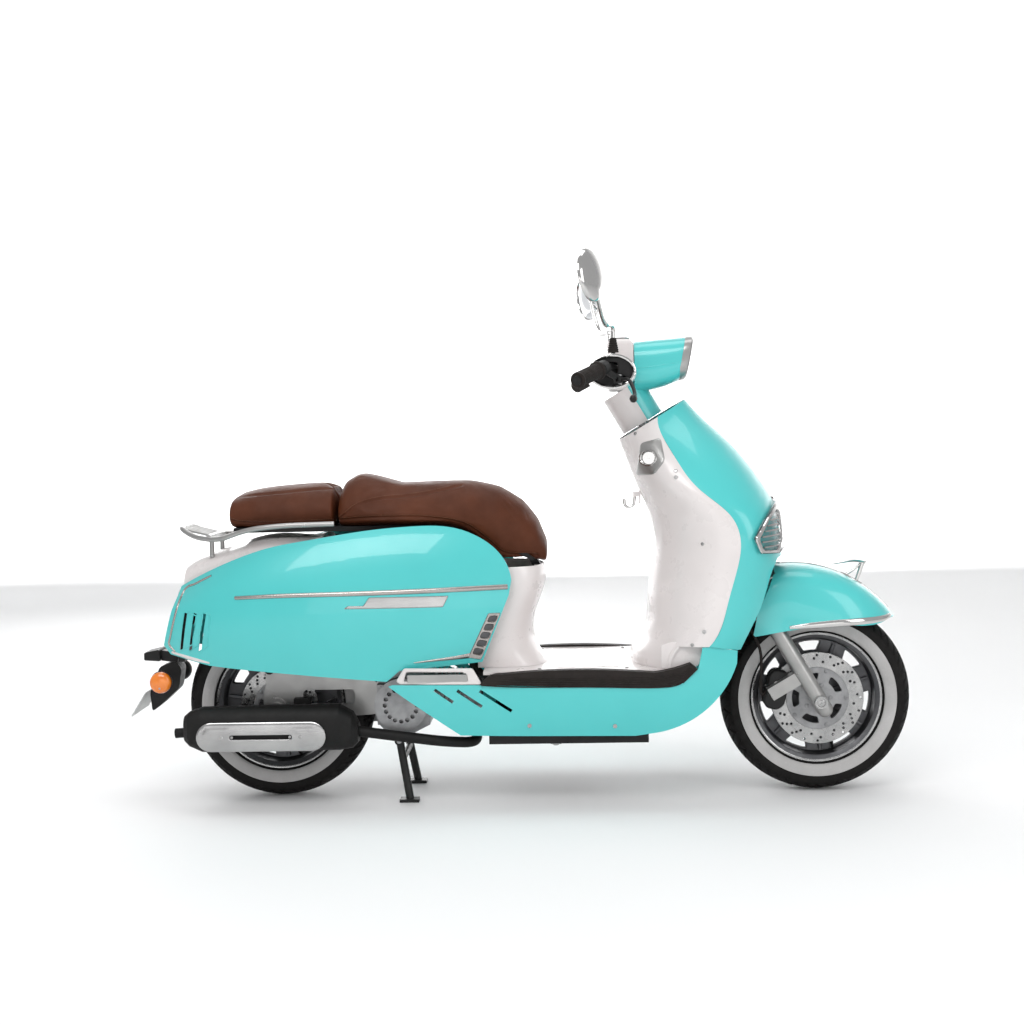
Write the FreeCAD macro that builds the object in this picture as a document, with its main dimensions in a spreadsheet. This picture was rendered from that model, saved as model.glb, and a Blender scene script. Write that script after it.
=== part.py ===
import FreeCAD, Part
import math
import os
import Sketcher
from FreeCAD import Placement, Rotation, Vector

# A retro step-through moped scooter as an assembly of separate pieces.
# Millimetres. +X runs forward, +Y to the scooter's left, +Z up, Z = 0 is the ground.
# Body outlines are drawn from the body datum, which lies on the ground under the bag
# area: the rear axle is rear_setback behind it. Outlines of the front end move forward
# with the wheelbase, and every body outline rises with the wheels.

SIZES = (
    ("wheelbase", 1350, "rear axle to front axle"),
    ("rear_setback", 606, "rear axle behind the body datum"),
    ("front_reach", 744, "front axle ahead of the datum for the drawn outlines"),
    ("axle_datum", 237, "axle height for the drawn outlines"),
    ("tyre_radius", 237, "tyre outside radius"),
    ("tyre_width", 120, "tyre section width"),
    ("tyre_wall", 9, "tyre casing thickness"),
    ("rim_seat", 152, "bead seat radius of both rims"),
    ("rim_flange", 163, "flange radius of both rims"),
    ("rim_width", 86, "rim width over the flanges"),
    ("rim_skin", 6, "rim barrel thickness"),
    ("web_thick", 14, "rim web thickness"),
    ("hub_radius", 34, "wheel hub radius"),
    ("hub_width", 100, "wheel hub length"),
    ("axle_radius", 8, "both axles"),
    ("run_clear", 0.08, "radial running clearance on shafts"),
    ("seat_clear", 0.3, "clearance between pieces that rest on each other"),
    ("front_disc_radius", 115, "front brake disc"),
    ("rear_disc_radius", 98, "rear brake disc"),
    ("disc_thick", 4, "brake disc thickness"),
    ("rake", 30.4, "steering axis from the vertical, degrees"),
    ("fork_offset", 12, "steering axis behind the fork legs"),
    ("fork_leg_y", 95, "fork leg centre from the middle plane"),
    ("slider_radius", 20, "lower fork tube"),
    ("stanchion_radius", 15, "upper fork tube"),
    ("fork_travel", 55, "front suspension travel"),
    ("stem_radius", 14, "steering stem"),
    ("head_bore", 22, "head tube bore radius"),
    ("head_radius", 27, "head tube outside radius"),
    ("crown_w", 352, "fork crown underside above the front axle, along the fork"),
    ("neck_w", 812, "underside of the handlebar neck above the front axle"),
    ("neck_radius", 56, "handlebar neck"),
    ("panel_wall", 3, "body panel thickness"),
    ("body_half", 208, "half width over the side panels"),
    ("shield_half", 234, "half width of the leg shield"),
    ("skirt_half", 222, "half width over the floor skirts"),
    ("floor_half", 200, "half width of the floor panel"),
    ("floor_top", 338, "floor height in the drawn outlines"),
    ("floor_thick", 8, "floor panel thickness"),
    ("fender_side", 31, "fork leg centre to the side of the front fender"),
    ("rider_half", 148, "half width of the rider cushion"),
    ("pillion_half", 132, "half width of the pillion cushion"),
    ("bar_half", 350, "half width over the handlebar"),
    ("bar_radius", 11, "handlebar tube"),
    ("grip_radius", 17.5, "handlebar grips"),
    ("mirror_radius", 62, "mirror head"),
    ("mirror_out", 352, "mirror centre from the middle plane"),
    ("frame_tube", 16, "main frame tube radius"),
    ("rail_tube", 11, "rear frame rail radius"),
    ("rail_y", 104, "rear frame rail from the middle plane"),
    ("rack_tube", 6.5, "grab rail tube radius"),
    ("muffler_half", 42, "muffler half depth across the scooter"),
    ("pipe_radius", 13, "exhaust pipe"),
    ("spring_radius", 24, "rear shock spring outside radius"),
    ("spring_wire", 7, "rear shock spring wire"),
    ("shock_y", 104, "rear shocks from the middle plane"),
    ("stand_tube", 10, "centre stand tube radius"),
    ("stand_y", 82, "centre stand legs from the middle plane"),
)

doc = FreeCAD.newDocument("MopedScooter")
sheet = doc.addObject("Spreadsheet::Sheet", "Sizes")
for row, (alias, number, note) in enumerate(SIZES, start=1):
    sheet.set(f"A{row}", note)
    sheet.set(f"B{row}", str(number))
    sheet.setAlias(f"B{row}", alias)
doc.recompute()


def val(alias):
    """A driving size, read from the sheet."""
    return float(sheet.get(alias))


STRETCH = val("wheelbase") - val("rear_setback") - val("front_reach")
LIFT = val("tyre_radius") - val("axle_datum")
REAR_AXLE = Vector(-val("rear_setback"), 0, val("tyre_radius"))
FRONT_AXLE = Vector(val("wheelbase") - val("rear_setback"), 0, val("tyre_radius"))
REAR_X = "-Sizes.rear_setback"
FRONT_X = "Sizes.wheelbase - Sizes.rear_setback"
AXLE_Z = "Sizes.tyre_radius"
RAKE = math.radians(val("rake"))
FORK_U = Vector(math.cos(RAKE), 0, math.sin(RAKE))
FORK_W = Vector(-math.sin(RAKE), 0, math.cos(RAKE))
FORK_TURN = Rotation(Vector(0, 1, 0), -val("rake"))
SIDES = (-1, 1)
SIDE_NAMES = {-1: "right", 1: "left"}
CLEAR = val("seat_clear")
WALL = val("panel_wall")
BIG = 3000

nodes = []


def rear(x, z, y=0):
    """A point drawn on the rear part of the body."""
    return Vector(x, y, z + LIFT)


def front(x, z, y=0):
    """A point drawn on the front part, which moves with the wheelbase."""
    return Vector(x + STRETCH, y, z + LIFT)


def forked(u, w, y=0):
    """A point in the fork's own frame, from the front axle: u ahead, w up the fork."""
    return FRONT_AXLE + FORK_U * u + FORK_W * w + Vector(0, y, 0)


# ---------------------------------------------------------------- shape helpers
def add(label, shape):
    """A node whose shape is worked out here."""
    feature = doc.addObject("Part::Feature", label)
    feature.Shape = shape
    feature.Placement = shape.Placement
    return keep(label, feature)


def keep(label, item):
    item.Label = label
    nodes.append(item)
    return item


def group(label, items):
    compound = doc.addObject("Part::Compound", label)
    compound.Links = items
    return keep(label, compound)


def together(shapes):
    """Several separate solids in one node."""
    solids = []
    for shape in shapes:
        solids.extend(shape.Solids)
    return Part.makeCompound(solids)


def fused(shapes):
    result = shapes[0].multiFuse(list(shapes[1:]))
    return result.removeSplitter()


def largest(shape):
    return max(shape.Solids, key=lambda solid: solid.Volume)


def rod(start, end, radius):
    return Part.makeCylinder(radius, (end - start).Length, start, end - start)


def hollow_rod(start, end, radius, bore):
    return rod(start, end, radius).cut(rod(start, end, bore))


def block(low, high):
    """A box between two corners."""
    size = high - low
    return Part.makeBox(size.x, size.y, size.z, low)


def fork_block(u, y, w):
    """A box in the fork's frame from three (low, high) pairs."""
    box = Part.makeBox(u[1] - u[0], y[1] - y[0], w[1] - w[0])
    box.Placement = Placement(forked(u[0], w[0], y[0]), FORK_TURN)
    return box


def spline(points):
    curve = Part.BSplineCurve()
    curve.interpolate(points)
    return curve.toShape()


def closed_spline(points):
    curve = Part.BSplineCurve()
    curve.interpolate(Points=points, PeriodicFlag=True)
    return Part.Wire([curve.toShape()])


def outline_wire(runs):
    """A closed wire of runs that follow each other: two points are a line, more a curve."""
    edges = []
    for run in runs:
        if len(run) == 2:
            edges.append(Part.makeLine(run[0], run[1]))
        else:
            edges.append(spline(run))
    return Part.Wire(edges)


def side_prism(runs, y_low, y_high):
    """The side outline in runs (drawn at y = 0) swept across the scooter."""
    face = Part.Face(outline_wire(runs))
    face.translate(Vector(0, y_low, 0))
    return face.extrude(Vector(0, y_high - y_low, 0))


def shifted(points, normal, distance):
    """An open curve's points moved sideways in the plane with this normal."""
    moved = []
    last = len(points) - 1
    for index, point in enumerate(points):
        ahead = points[min(index + 1, last)]
        behind = points[max(index - 1, 0)]
        along = ahead - behind
        moved.append(point + along.cross(normal).normalize() * distance)
    return moved


def band(points, normal, outer, inner):
    """A closed wire between two offsets of one open curve."""
    far = shifted(points, normal, outer)
    near = shifted(points, normal, inner)
    edges = [spline(far), Part.makeLine(far[-1], near[-1])]
    edges += [spline(near[::-1]), Part.makeLine(near[0], far[0])]
    return Part.Wire(edges)


def loft(wires):
    return Part.makeLoft(wires, True, False)


def bent_path(points, radius=None):
    """Straight runs joined by tangent arcs. Without a radius, each arc is as large as fits."""
    edges = []
    start = points[0]
    for before, corner, after in zip(points, points[1:], points[2:]):
        back = (before - corner)
        ahead = (after - corner)
        shorter = min(back.Length, ahead.Length)
        back.normalize()
        ahead.normalize()
        turn = math.pi - back.getAngle(ahead)
        setback = 0.45 * shorter
        if radius is not None:
            setback = min(setback, radius * math.tan(turn / 2))
        first = corner + back * setback
        last = corner + ahead * setback
        bend = setback / math.tan(turn / 2)
        inward = (back + ahead).normalize()
        centre = corner + inward * (bend / math.cos(turn / 2))
        middle = centre - inward * bend
        edges.append(Part.makeLine(start, first))
        edges.append(Part.Arc(first, middle, last).toShape())
        start = last
    edges.append(Part.makeLine(start, points[-1]))
    return Part.Wire(edges)


def tube(points, radius, bend=None):
    """A round bar along a bent path."""
    path = bent_path(points, bend)
    disc = Part.Wire([Part.makeCircle(radius, points[0], points[1] - points[0])])
    return path.makePipeShell([disc], True, True)


def reach(shape, start, direction, limit=400):
    """How far from start, along direction, the shape's first face lies."""
    ray = Part.makeLine(start, start + direction * limit)
    hits = [vertex.Point for vertex in ray.common(shape).Vertexes]
    return min((hit - start).Length for hit in hits)


def bolt(centre, outward, head_radius, head_height):
    """A hexagon head that stands on a face."""
    turn = Rotation(Vector(0, 0, 1), outward)
    corners = []
    for index in range(7):
        angle = math.radians(60 * index)
        flat = Vector(head_radius * math.cos(angle), head_radius * math.sin(angle), 0)
        corners.append(centre + turn.multVec(flat))
    head = Part.Face(Part.makePolygon(corners))
    return head.extrude(outward * head_height)


# ---------------------------------------------------------------- sketched bodies
def plane_of(body, role):
    return [item for item in body.Origin.OriginFeatures if item.Role == role][0]


def new_body(name, x="0", y="0", z="0"):
    body = doc.addObject("PartDesign::Body", name)
    body.setExpression("Placement.Base.x", x)
    body.setExpression("Placement.Base.y", y)
    body.setExpression("Placement.Base.z", z)
    return body


def new_sketch(body, role):
    sketch = body.newObject("Sketcher::SketchObject", body.Name + "Sketch")
    sketch.AttachmentSupport = (plane_of(body, role), [""])
    sketch.MapMode = "FlatFace"
    return sketch


def fix(sketch, kind, geometry, expression):
    """Bind one coordinate of a geometry's first point to the sheet."""
    number = float(sketch.evalExpression(expression))
    index = sketch.addConstraint(Sketcher.Constraint(kind, -1, 1, geometry, 1, number))
    sketch.setExpression(f"Constraints[{index}]", expression)


def polygon(body, role, corners):
    """A sketch of straight edges whose corners are pairs of sheet expressions."""
    sketch = new_sketch(body, role)
    places = []
    for along, up in corners:
        x = float(sketch.evalExpression(along))
        y = float(sketch.evalExpression(up))
        places.append(Vector(x, y, 0))
    count = len(places)
    for index in range(count):
        line = Part.LineSegment(places[index], places[(index + 1) % count])
        sketch.addGeometry(line, False)
    for index in range(count):
        following = (index + 1) % count
        sketch.addConstraint(Sketcher.Constraint("Coincident", index, 2, following, 1))
        fix(sketch, "DistanceX", index, corners[index][0])
        fix(sketch, "DistanceY", index, corners[index][1])
    return sketch


def circles(body, role, rounds):
    """A sketch of circles, each from sheet expressions for x, y and radius."""
    sketch = new_sketch(body, role)
    for index, (along, up, radius) in enumerate(rounds):
        x = float(sketch.evalExpression(along))
        y = float(sketch.evalExpression(up))
        size = float(sketch.evalExpression(radius))
        sketch.addGeometry(Part.Circle(Vector(x, y, 0), Vector(0, 0, 1), size), False)
        for kind, number, text in (("DistanceX", x, along), ("DistanceY", y, up)):
            place = sketch.addConstraint(Sketcher.Constraint(kind, -1, 1, index, 3, number))
            sketch.setExpression(f"Constraints[{place}]", text)
        place = sketch.addConstraint(Sketcher.Constraint("Radius", index, size))
        sketch.setExpression(f"Constraints[{place}]", radius)
    return sketch


def revolve(body, sketch, axis="V_Axis"):
    feature = body.newObject("PartDesign::Revolution", body.Name + "Turned")
    feature.Profile = sketch
    feature.ReferenceAxis = (sketch, [axis])
    feature.Angle = 360
    return feature


def pad(body, sketch, length):
    feature = body.newObject("PartDesign::Pad", body.Name + "Pad")
    feature.Profile = sketch
    feature.SideType = "Symmetric"
    feature.setExpression("Length", length)
    return feature


def pocket_ring(body, sketch, count):
    """Cut the sketch right through the body and repeat it round the sketch's own centre."""
    cut = body.newObject("PartDesign::Pocket", body.Name + "Pocket")
    cut.Profile = sketch
    cut.SideType = "Symmetric"
    cut.Type = "ThroughAll"
    ring = body.newObject("PartDesign::PolarPattern", body.Name + "Ring")
    ring.Originals = [cut]
    ring.Axis = (sketch, ["N_Axis"])
    ring.Angle = 360
    ring.Occurrences = count
    body.Tip = ring
    return ring


# ---------------------------------------------------------------- wheels
def wheel_rim(name, axle_x, windows):
    """Cast rim: barrel, flanges, web with round windows, and hub."""
    body = new_body(name, axle_x, "0", AXLE_Z)
    half_rim = "Sizes.rim_width / 2"
    half_web = "Sizes.web_thick / 2"
    barrel = "Sizes.rim_seat - Sizes.rim_skin"
    bore = "Sizes.axle_radius + Sizes.run_clear"
    corners = [
        (bore, "-Sizes.hub_width / 2"),
        ("Sizes.hub_radius", "-Sizes.hub_width / 2"),
        ("Sizes.hub_radius", f"-({half_web})"),
        (barrel, f"-({half_web})"),
        (barrel, f"-({half_rim})"),
        ("Sizes.rim_flange", f"-({half_rim})"),
        ("Sizes.rim_flange", f"-({half_rim}) + 5"),
        ("Sizes.rim_seat", f"-({half_rim}) + 8"),
        ("Sizes.rim_seat", f"({half_rim}) - 8"),
        ("Sizes.rim_flange", f"({half_rim}) - 5"),
        ("Sizes.rim_flange", half_rim),
        (barrel, half_rim),
        (barrel, half_web),
        ("Sizes.hub_radius", half_web),
        ("Sizes.hub_radius", "Sizes.hub_width / 2"),
        (bore, "Sizes.hub_width / 2"),
    ]
    revolve(body, polygon(body, "XY_Plane", corners))
    middle = f"(Sizes.hub_radius + {barrel}) / 2"
    hole = f"({barrel} - Sizes.hub_radius) * 0.27"
    pocket_ring(body, circles(body, "XZ_Plane", [("0", middle, hole)]), windows)
    return body


def brake_disc(name, axle_x, radius, side_y):
    """A drilled disc with its carrier ring."""
    body = new_body(name, axle_x, side_y, AXLE_Z)
    bore = "Sizes.axle_radius + Sizes.run_clear"
    rings = [("0", "0", radius), ("0", "0", bore)]
    pad(body, circles(body, "XZ_Plane", rings), "Sizes.disc_thick")
    drills = []
    for share, lean in ((0.93, 0), (0.84, 7), (0.75, 14)):
        drills.append((f"{lean}", f"{radius} * {share}", "3.5"))
    drills.append(("0", f"{radius} * 0.5", f"{radius} * 0.12"))
    pocket_ring(body, circles(body, "XZ_Plane", drills), 10)
    return body


def tyre(label, centre):
    """A tyre casing: crown and sidewall arcs outside, an even wall inside."""
    half = val("tyre_width") / 2
    crown = val("tyre_radius")
    wall = val("tyre_wall")
    bead = val("rim_seat") + CLEAR
    foot = val("rim_width") / 2 - 8 - CLEAR
    spots = (
        (bead, foot),
        (val("rim_flange") + 3, foot + 3),
        (crown - 42, half),
        (crown - 14, half * 0.72),
        (crown, 0),
        (crown - 14, -half * 0.72),
        (crown - 42, -half),
        (val("rim_flange") + 3, -foot - 3),
        (bead, -foot),
        (bead, -foot + wall),
        (val("rim_flange") + 3 + wall, -foot - 0.5),
        (crown - 42, -half + wall),
        (crown - 13 - wall, -half * 0.72 + 4),
        (crown - wall, 0),
        (crown - 13 - wall, half * 0.72 - 4),
        (crown - 42, half - wall),
        (val("rim_flange") + 3 + wall, foot + 0.5),
        (bead, foot - wall),
    )
    points = [Vector(x, y, 0) for x, y in spots]
    edges = [Part.makeLine(points[low], points[low + 1]) for low in (0, 7, 8, 9, 16)]
    edges.append(Part.makeLine(points[-1], points[0]))
    edges += [Part.Arc(*points[low:low + 3]).toShape() for low in (1, 3, 5, 10, 12, 14)]
    outline = Part.Wire(Part.sortEdges(edges)[0])
    solid = Part.Face(outline).revolve(Vector(), Vector(0, 1, 0), 360)
    return add(label, solid.translated(centre))


HUB_HALF = "Sizes.hub_width / 2 + Sizes.disc_thick / 2 + Sizes.seat_clear"
front_wheel = wheel_rim("FrontRim", FRONT_X, 7)
keep("front_rim", front_wheel)
tyre("front_tyre", FRONT_AXLE)
keep("front_disc", brake_disc("FrontDisc", FRONT_X, "Sizes.front_disc_radius", f"-({HUB_HALF})"))
rear_wheel = wheel_rim("RearRim", REAR_X, 7)
rear_disc = brake_disc("RearDisc", REAR_X, "Sizes.rear_disc_radius", f"-({HUB_HALF})")
group("rear_rim", [rear_wheel, rear_disc])
tyre("rear_tyre", REAR_AXLE)
DISC_Y = -(val("hub_width") / 2 + val("disc_thick") / 2 + CLEAR)


# ---------------------------------------------------------------- fork and steering
LEG_Y = val("fork_leg_y")
AXIS_U = -val("fork_offset")
SLIDER_TOP = 228
STEM_TOP = 925


def fork_lowers():
    """Both sliders, bored for the stanchions, with the wheel axle between them."""
    parts = []
    for side in SIDES:
        y = side * LEG_Y
        leg = rod(forked(0, -24, y), forked(0, SLIDER_TOP, y), val("slider_radius"))
        collar = rod(forked(0, SLIDER_TOP - 14, y), forked(0, SLIDER_TOP, y), val("slider_radius") + 3)
        foot = Part.makeSphere(val("slider_radius"), forked(0, -24, y))
        bore = val("stanchion_radius") + val("run_clear")
        hole = rod(forked(0, 26, y), forked(0, SLIDER_TOP + 5, y), bore)
        parts.append(fused([leg, collar, foot]).cut(hole))
    reach_y = LEG_Y + val("slider_radius")
    axle = rod(FRONT_AXLE - Vector(0, reach_y, 0), FRONT_AXLE + Vector(0, reach_y, 0), val("axle_radius"))
    for side in SIDES:
        near = FRONT_AXLE + Vector(0, side * (reach_y - 4), 0)
        parts.append(rod(near, near + Vector(0, side * 10, 0), 17))
    spacer_from = val("hub_width") / 2 + CLEAR
    spacer_to = LEG_Y - val("slider_radius") + 2
    left = rod(FRONT_AXLE + Vector(0, spacer_from, 0), FRONT_AXLE + Vector(0, spacer_to, 0), 14)
    right_from = -DISC_Y + val("disc_thick") / 2 + CLEAR
    right = rod(FRONT_AXLE - Vector(0, right_from, 0), FRONT_AXLE - Vector(0, spacer_to, 0), 14)
    lug = fork_block((-96, -12), (-LEG_Y - 8, DISC_Y - 14), (60, 92))
    bore = rod(forked(0, 26, -LEG_Y), forked(0, SLIDER_TOP, -LEG_Y), val("stanchion_radius") + 1)
    return fused(parts + [axle, left, right, lug.cut(bore)])


ARM_W = val("tyre_radius") + val("fork_travel") + 12


def fork_yoke(shell):
    """Stem, crown and the two stanchions; the stanchions end where the travel begins."""
    crown_w = val("crown_w")
    crown = fork_block((-32, 24), (-LEG_Y - 24, LEG_Y + 24), (crown_w, crown_w + 26))
    parts = [crown]
    for side in SIDES:
        foot = 34 + val("fork_travel")
        low = forked(0, foot, side * LEG_Y)
        high = forked(0, crown_w + 30, side * LEG_Y)
        parts.append(rod(low, high, val("stanchion_radius")))
    parts.append(rod(forked(AXIS_U, crown_w), forked(AXIS_U, STEM_TOP), val("stem_radius")))
    for side in SIDES:
        y = (side * 50 - 8, side * 50 + 8)
        parts.append(fork_block((-10, 90), y, (ARM_W, ARM_W + 12)))
        parts.append(fork_block((-10, 8), y, (ARM_W, crown_w + 4)))
        foot = forked(82, ARM_W + 4, side * 50)
        rise = reach(shell, foot, FORK_W)
        parts.append(rod(foot, foot + FORK_W * (rise - CLEAR), 6))
    return largest(fused(parts).cut(shell))


HEAD_LOW = val("crown_w") + 44
HEAD_HIGH = val("neck_w") - 32
add("fork_lowers", fork_lowers())


def caliper(axle, lean, plate_y, disc_radius, length, height):
    """A caliper over a disc's edge, leaning by an angle from straight above the axle."""
    turn = Rotation(Vector(0, 1, 0), lean)
    centre = axle + turn.multVec(Vector(0, 0, disc_radius + 12 - height / 2))
    gap = val("disc_thick") / 2 + 1.2
    outer = Part.makeBox(length, 40, height, Vector(-length / 2, -20, -height / 2))
    slot = Part.makeBox(length + 10, gap * 2, height, Vector(-length / 2 - 5, -gap, -height / 2 - 10))
    body = outer.cut(slot)
    body = body.makeFillet(4, body.Edges[:1])
    for offset in (-length / 5, length / 5):
        body = body.fuse(rod(Vector(offset, -20, 2), Vector(offset, -26, 2), 11))
    body.Placement = Placement(centre + Vector(0, plate_y, 0), turn)
    return body


FRONT_CLAMP_LEAN = -46 - val("rake")
front_clamp = caliper(FRONT_AXLE, FRONT_CLAMP_LEAN, DISC_Y, val("front_disc_radius"), 72, 38)
add("front_caliper", front_clamp.cut(doc.getObjectsByLabel("fork_lowers")[0].Shape))


def polar(angle, radius, y):
    """A point about the front axle, the angle in degrees up from straight ahead."""
    turn = math.radians(angle)
    return FRONT_AXLE + Vector(radius * math.cos(turn), y, radius * math.sin(turn))


def by_wheel(x, z):
    """An outline point drawn about the front wheel; it moves out with the tyre's radius."""
    return FRONT_AXLE + (front(x, z) - FRONT_AXLE) * (val("tyre_radius") / val("axle_datum"))


def fender():
    """The arch over the front wheel. It rides on the crown, so the wheel moves inside it."""
    half = LEG_Y + val("fender_side")
    room = val("tyre_radius")
    stations = (
        (41, 38, 0.34),
        (45, 42, 0.56),
        (54, 50, 0.80),
        (66, 62, 0.94),
        (82, 80, 1.0),
        (100, 101, 1.0),
        (118, 116, 0.98),
        (134, 118, 0.95),
    )
    wires = []
    for angle, gap, share in stations:
        top = room + gap
        wide = half * share
        arch = [
            polar(angle, room - 66, -wide),
            polar(angle, room - 6, -wide * 0.99),
            polar(angle, top - 26, -wide * 0.80),
            polar(angle, top, 0),
            polar(angle, top - 26, wide * 0.80),
            polar(angle, room - 6, wide * 0.99),
            polar(angle, room - 66, wide),
        ]
        normal = Vector(-math.sin(math.radians(angle)), 0, math.cos(math.radians(angle)))
        wires.append(band(arch, normal, 0, WALL))
    shell = loft(wires)
    hem = [
        [by_wheel(575, 400), by_wheel(665, 416), by_wheel(800, 428), by_wheel(903, 430),
         by_wheel(928, 436), by_wheel(955, 428)],
        [by_wheel(955, 428), by_wheel(980, 300)],
        [by_wheel(980, 300), by_wheel(430, 150)],
        [by_wheel(430, 150), by_wheel(430, 390)],
        [by_wheel(430, 390), by_wheel(575, 400)],
    ]
    shell = shell.cut(side_prism(hem, -BIG / 10, BIG / 10))
    back = [
        [by_wheel(575, 380), by_wheel(590, 455)],
        [by_wheel(590, 455), by_wheel(652, 590)],
        [by_wheel(652, 590), by_wheel(500, 700)],
        [by_wheel(500, 700), by_wheel(430, 300)],
        [by_wheel(430, 300), by_wheel(575, 380)],
    ]
    shell = shell.cut(side_prism(back, -BIG / 10, BIG / 10))
    notch = fork_block((-60, 70), (-LEG_Y - 27, LEG_Y + 27), (val("crown_w") - 26, val("crown_w") + 90))
    return shell.cut(notch)


fender_shell = fender()
add("front_fender", fender_shell)
add("fork_yoke", fork_yoke(fender_shell))


# ---------------------------------------------------------------- leg shield
UP = Vector(0, 0, 1)
AHEAD = Vector(1, 0, 0)

# height, nose, side edge, share of the half width, rear face, half width of the rear face
SHIELD_STATIONS = (
    (330, 600, 440, 0.94, 292, 108),
    (400, 622, 470, 0.945, 316, 108),
    (500, 656, 510, 0.965, 334, 104),
    (580, 662, 532, 0.99, 345, 102),
    (640, 662, 541, 1.0, 349, 98),
    (705, 652, 520, 0.98, 337, 92),
    (770, 622, 447, 0.91, 310, 82),
    (840, 572, 396, 0.75, 282, 72),
    (900, 516, 364, 0.56, 260, 62),
    (950, 462, 357, 0.38, 244, 56),
    (1000, 420, 350, 0.27, 228, 52),
)


def nose_curve(station):
    """The shield's plan outline ahead of its side edges, at one height."""
    height, nose, edge, share, _, _ = station
    half = val("shield_half") * share
    depth = nose - edge
    quarter = [
        (edge, half),
        (edge + depth * 0.40, half * 0.93),
        (edge + depth * 0.74, half * 0.70),
        (edge + depth * 0.93, half * 0.38),
    ]
    left = [front(x, height, y) for x, y in quarter]
    right = [front(x, height, -y) for x, y in quarter]
    return right + [front(nose, height)] + left[::-1]


def knee_curve(station):
    """The plan outline behind the side edges."""
    height, _, edge, share, back, back_half = station
    half = val("shield_half") * share
    depth = edge - back
    quarter = [
        (edge - CLEAR, half),
        (edge - depth * 0.38, half * 0.90 + back_half * 0.10),
        (edge - depth * 0.80, half * 0.36 + back_half * 0.64),
        (back, back_half * 0.72),
    ]
    left = [front(x, height, y) for x, y in quarter]
    right = [front(x, height, -y) for x, y in quarter]
    return left + [front(back - 3, height)] + right[::-1]


def nose_skin(outer, inner, stations=SHIELD_STATIONS):
    return loft([band(nose_curve(station), UP, outer, inner) for station in stations])


def knee_skin(outer, inner, stations=SHIELD_STATIONS):
    return loft([band(knee_curve(station), UP, outer, inner) for station in stations])


NECK_CUT = fork_block((-400, 400), (-300, 300), (val("neck_w") - 5, val("neck_w") + 500))
SHIELD_SEAM = [
    [front(400, 383), front(472, 393)],
    [front(472, 393), front(534, 381)],
    [front(534, 381), front(700, 381)],
    [front(700, 381), front(700, 200)],
    [front(700, 200), front(400, 200)],
    [front(400, 200), front(400, 383)],
]
WHEEL_ARCH = [
    [front(700, 598), front(640, 598)],
    [front(640, 598), front(620, 565), front(600, 504), front(562, 424), front(531, 350)],
    [front(531, 350), front(489, 275), front(434, 225), front(339, 186)],
    [front(339, 186), front(339, 60)],
    [front(339, 60), front(700, 60)],
    [front(700, 60), front(700, 598)],
]
wheel_arch = side_prism(WHEEL_ARCH, -BIG / 10, BIG / 10)
shield_shell = nose_skin(0, -WALL).cut(NECK_CUT).cut(wheel_arch)
shield_shell = shield_shell.cut(side_prism(SHIELD_SEAM, -BIG / 10, BIG / 10))
add("front_shield", shield_shell)

floor_level = block(front(-300, 0, -400), front(900, val("floor_top") + CLEAR, 400))
knee_shell = knee_skin(0, -WALL).cut(NECK_CUT).cut(floor_level).cut(shield_shell)
for side in SIDES:
    low, high = sorted((side * (val("floor_half") - 0.4), side * 300))
    knee_shell = knee_shell.cut(block(front(250, 300, low), front(700, 393.2, high)))
key_at = front(330, 846)
key_depth = reach(knee_shell, key_at, Vector(0, -1, 0))
key_face = key_at + Vector(0, -key_depth, 0)
KEY_RADIUS = 15
key_hole = rod(key_face + Vector(0, 30, 0), key_face - Vector(0, 30, 0), KEY_RADIUS + CLEAR)
knee_shell = knee_shell.cut(key_hole)

key_in = key_face + Vector(0, 14, 0)
key_out = key_face - Vector(0, 9, 0)
key_slot = block(key_out - Vector(5.5, 1, 1.2), key_out + Vector(5.5, 5, 1.2))
add("key_barrel", rod(key_in, key_out, KEY_RADIUS).cut(key_slot))

LAMP_OUTLINE = [
    [front(572, 652), front(588, 616)],
    [front(588, 616), front(640, 612)],
    [front(640, 612), front(700, 640)],
    [front(700, 640), front(700, 736)],
    [front(700, 736), front(646, 738)],
    [front(646, 738), front(604, 700), front(572, 652)],
]
lamp_band = nose_skin(11, CLEAR, SHIELD_STATIONS[2:7])
lamp_pieces = []
for side in SIDES:
    low, high = sorted((side * 34, side * 300))
    lamp_pieces.append(largest(lamp_band.common(side_prism(LAMP_OUTLINE, low, high)).cut(shield_shell)))
add("front_lamp_unit", together(lamp_pieces))

hook_inside = front(380, 752)
hook_back = reach(knee_shell, hook_inside, Vector(-1, 0, 0))
hook_x = hook_inside.x - hook_back - WALL
hook_z = hook_inside.z
hook_plate = block(Vector(hook_x - 5, -16, hook_z - 24), Vector(hook_x - CLEAR, 16, hook_z + 24))
hook_eye = Vector(hook_x - 14, 0, hook_z)
hook_loop = tube([hook_eye, hook_eye + Vector(-4, 0, -30), hook_eye + Vector(-26, 0, -34),
                  hook_eye + Vector(-28, 0, -10)], 4, 10)
hook_barrel = rod(hook_eye - Vector(0, 9, 0), hook_eye + Vector(0, 9, 0), 6)
hook_ears = []
for side in SIDES:
    low, high = sorted((side * 9.5, side * 15))
    ear_low = Vector(hook_x - 20, low, hook_eye.z - 6)
    ear_high = Vector(hook_x - 4, high, hook_eye.z + 6)
    hook_ears.append(block(ear_low, ear_high))
HOOK_PIN_RADIUS = 2.5
pin_half = Vector(0, 15, 0)
pin = rod(hook_eye - pin_half, hook_eye + pin_half, HOOK_PIN_RADIUS)
hook_bore = rod(hook_eye - pin_half, hook_eye + pin_half, HOOK_PIN_RADIUS + val("run_clear"))
add("bag_hook", fused([hook_barrel, hook_loop]).cut(hook_bore))
hook_mount = fused([hook_plate, pin] + hook_ears).cut(knee_shell)
add("inner_shield", together([knee_shell, hook_mount]))


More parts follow.
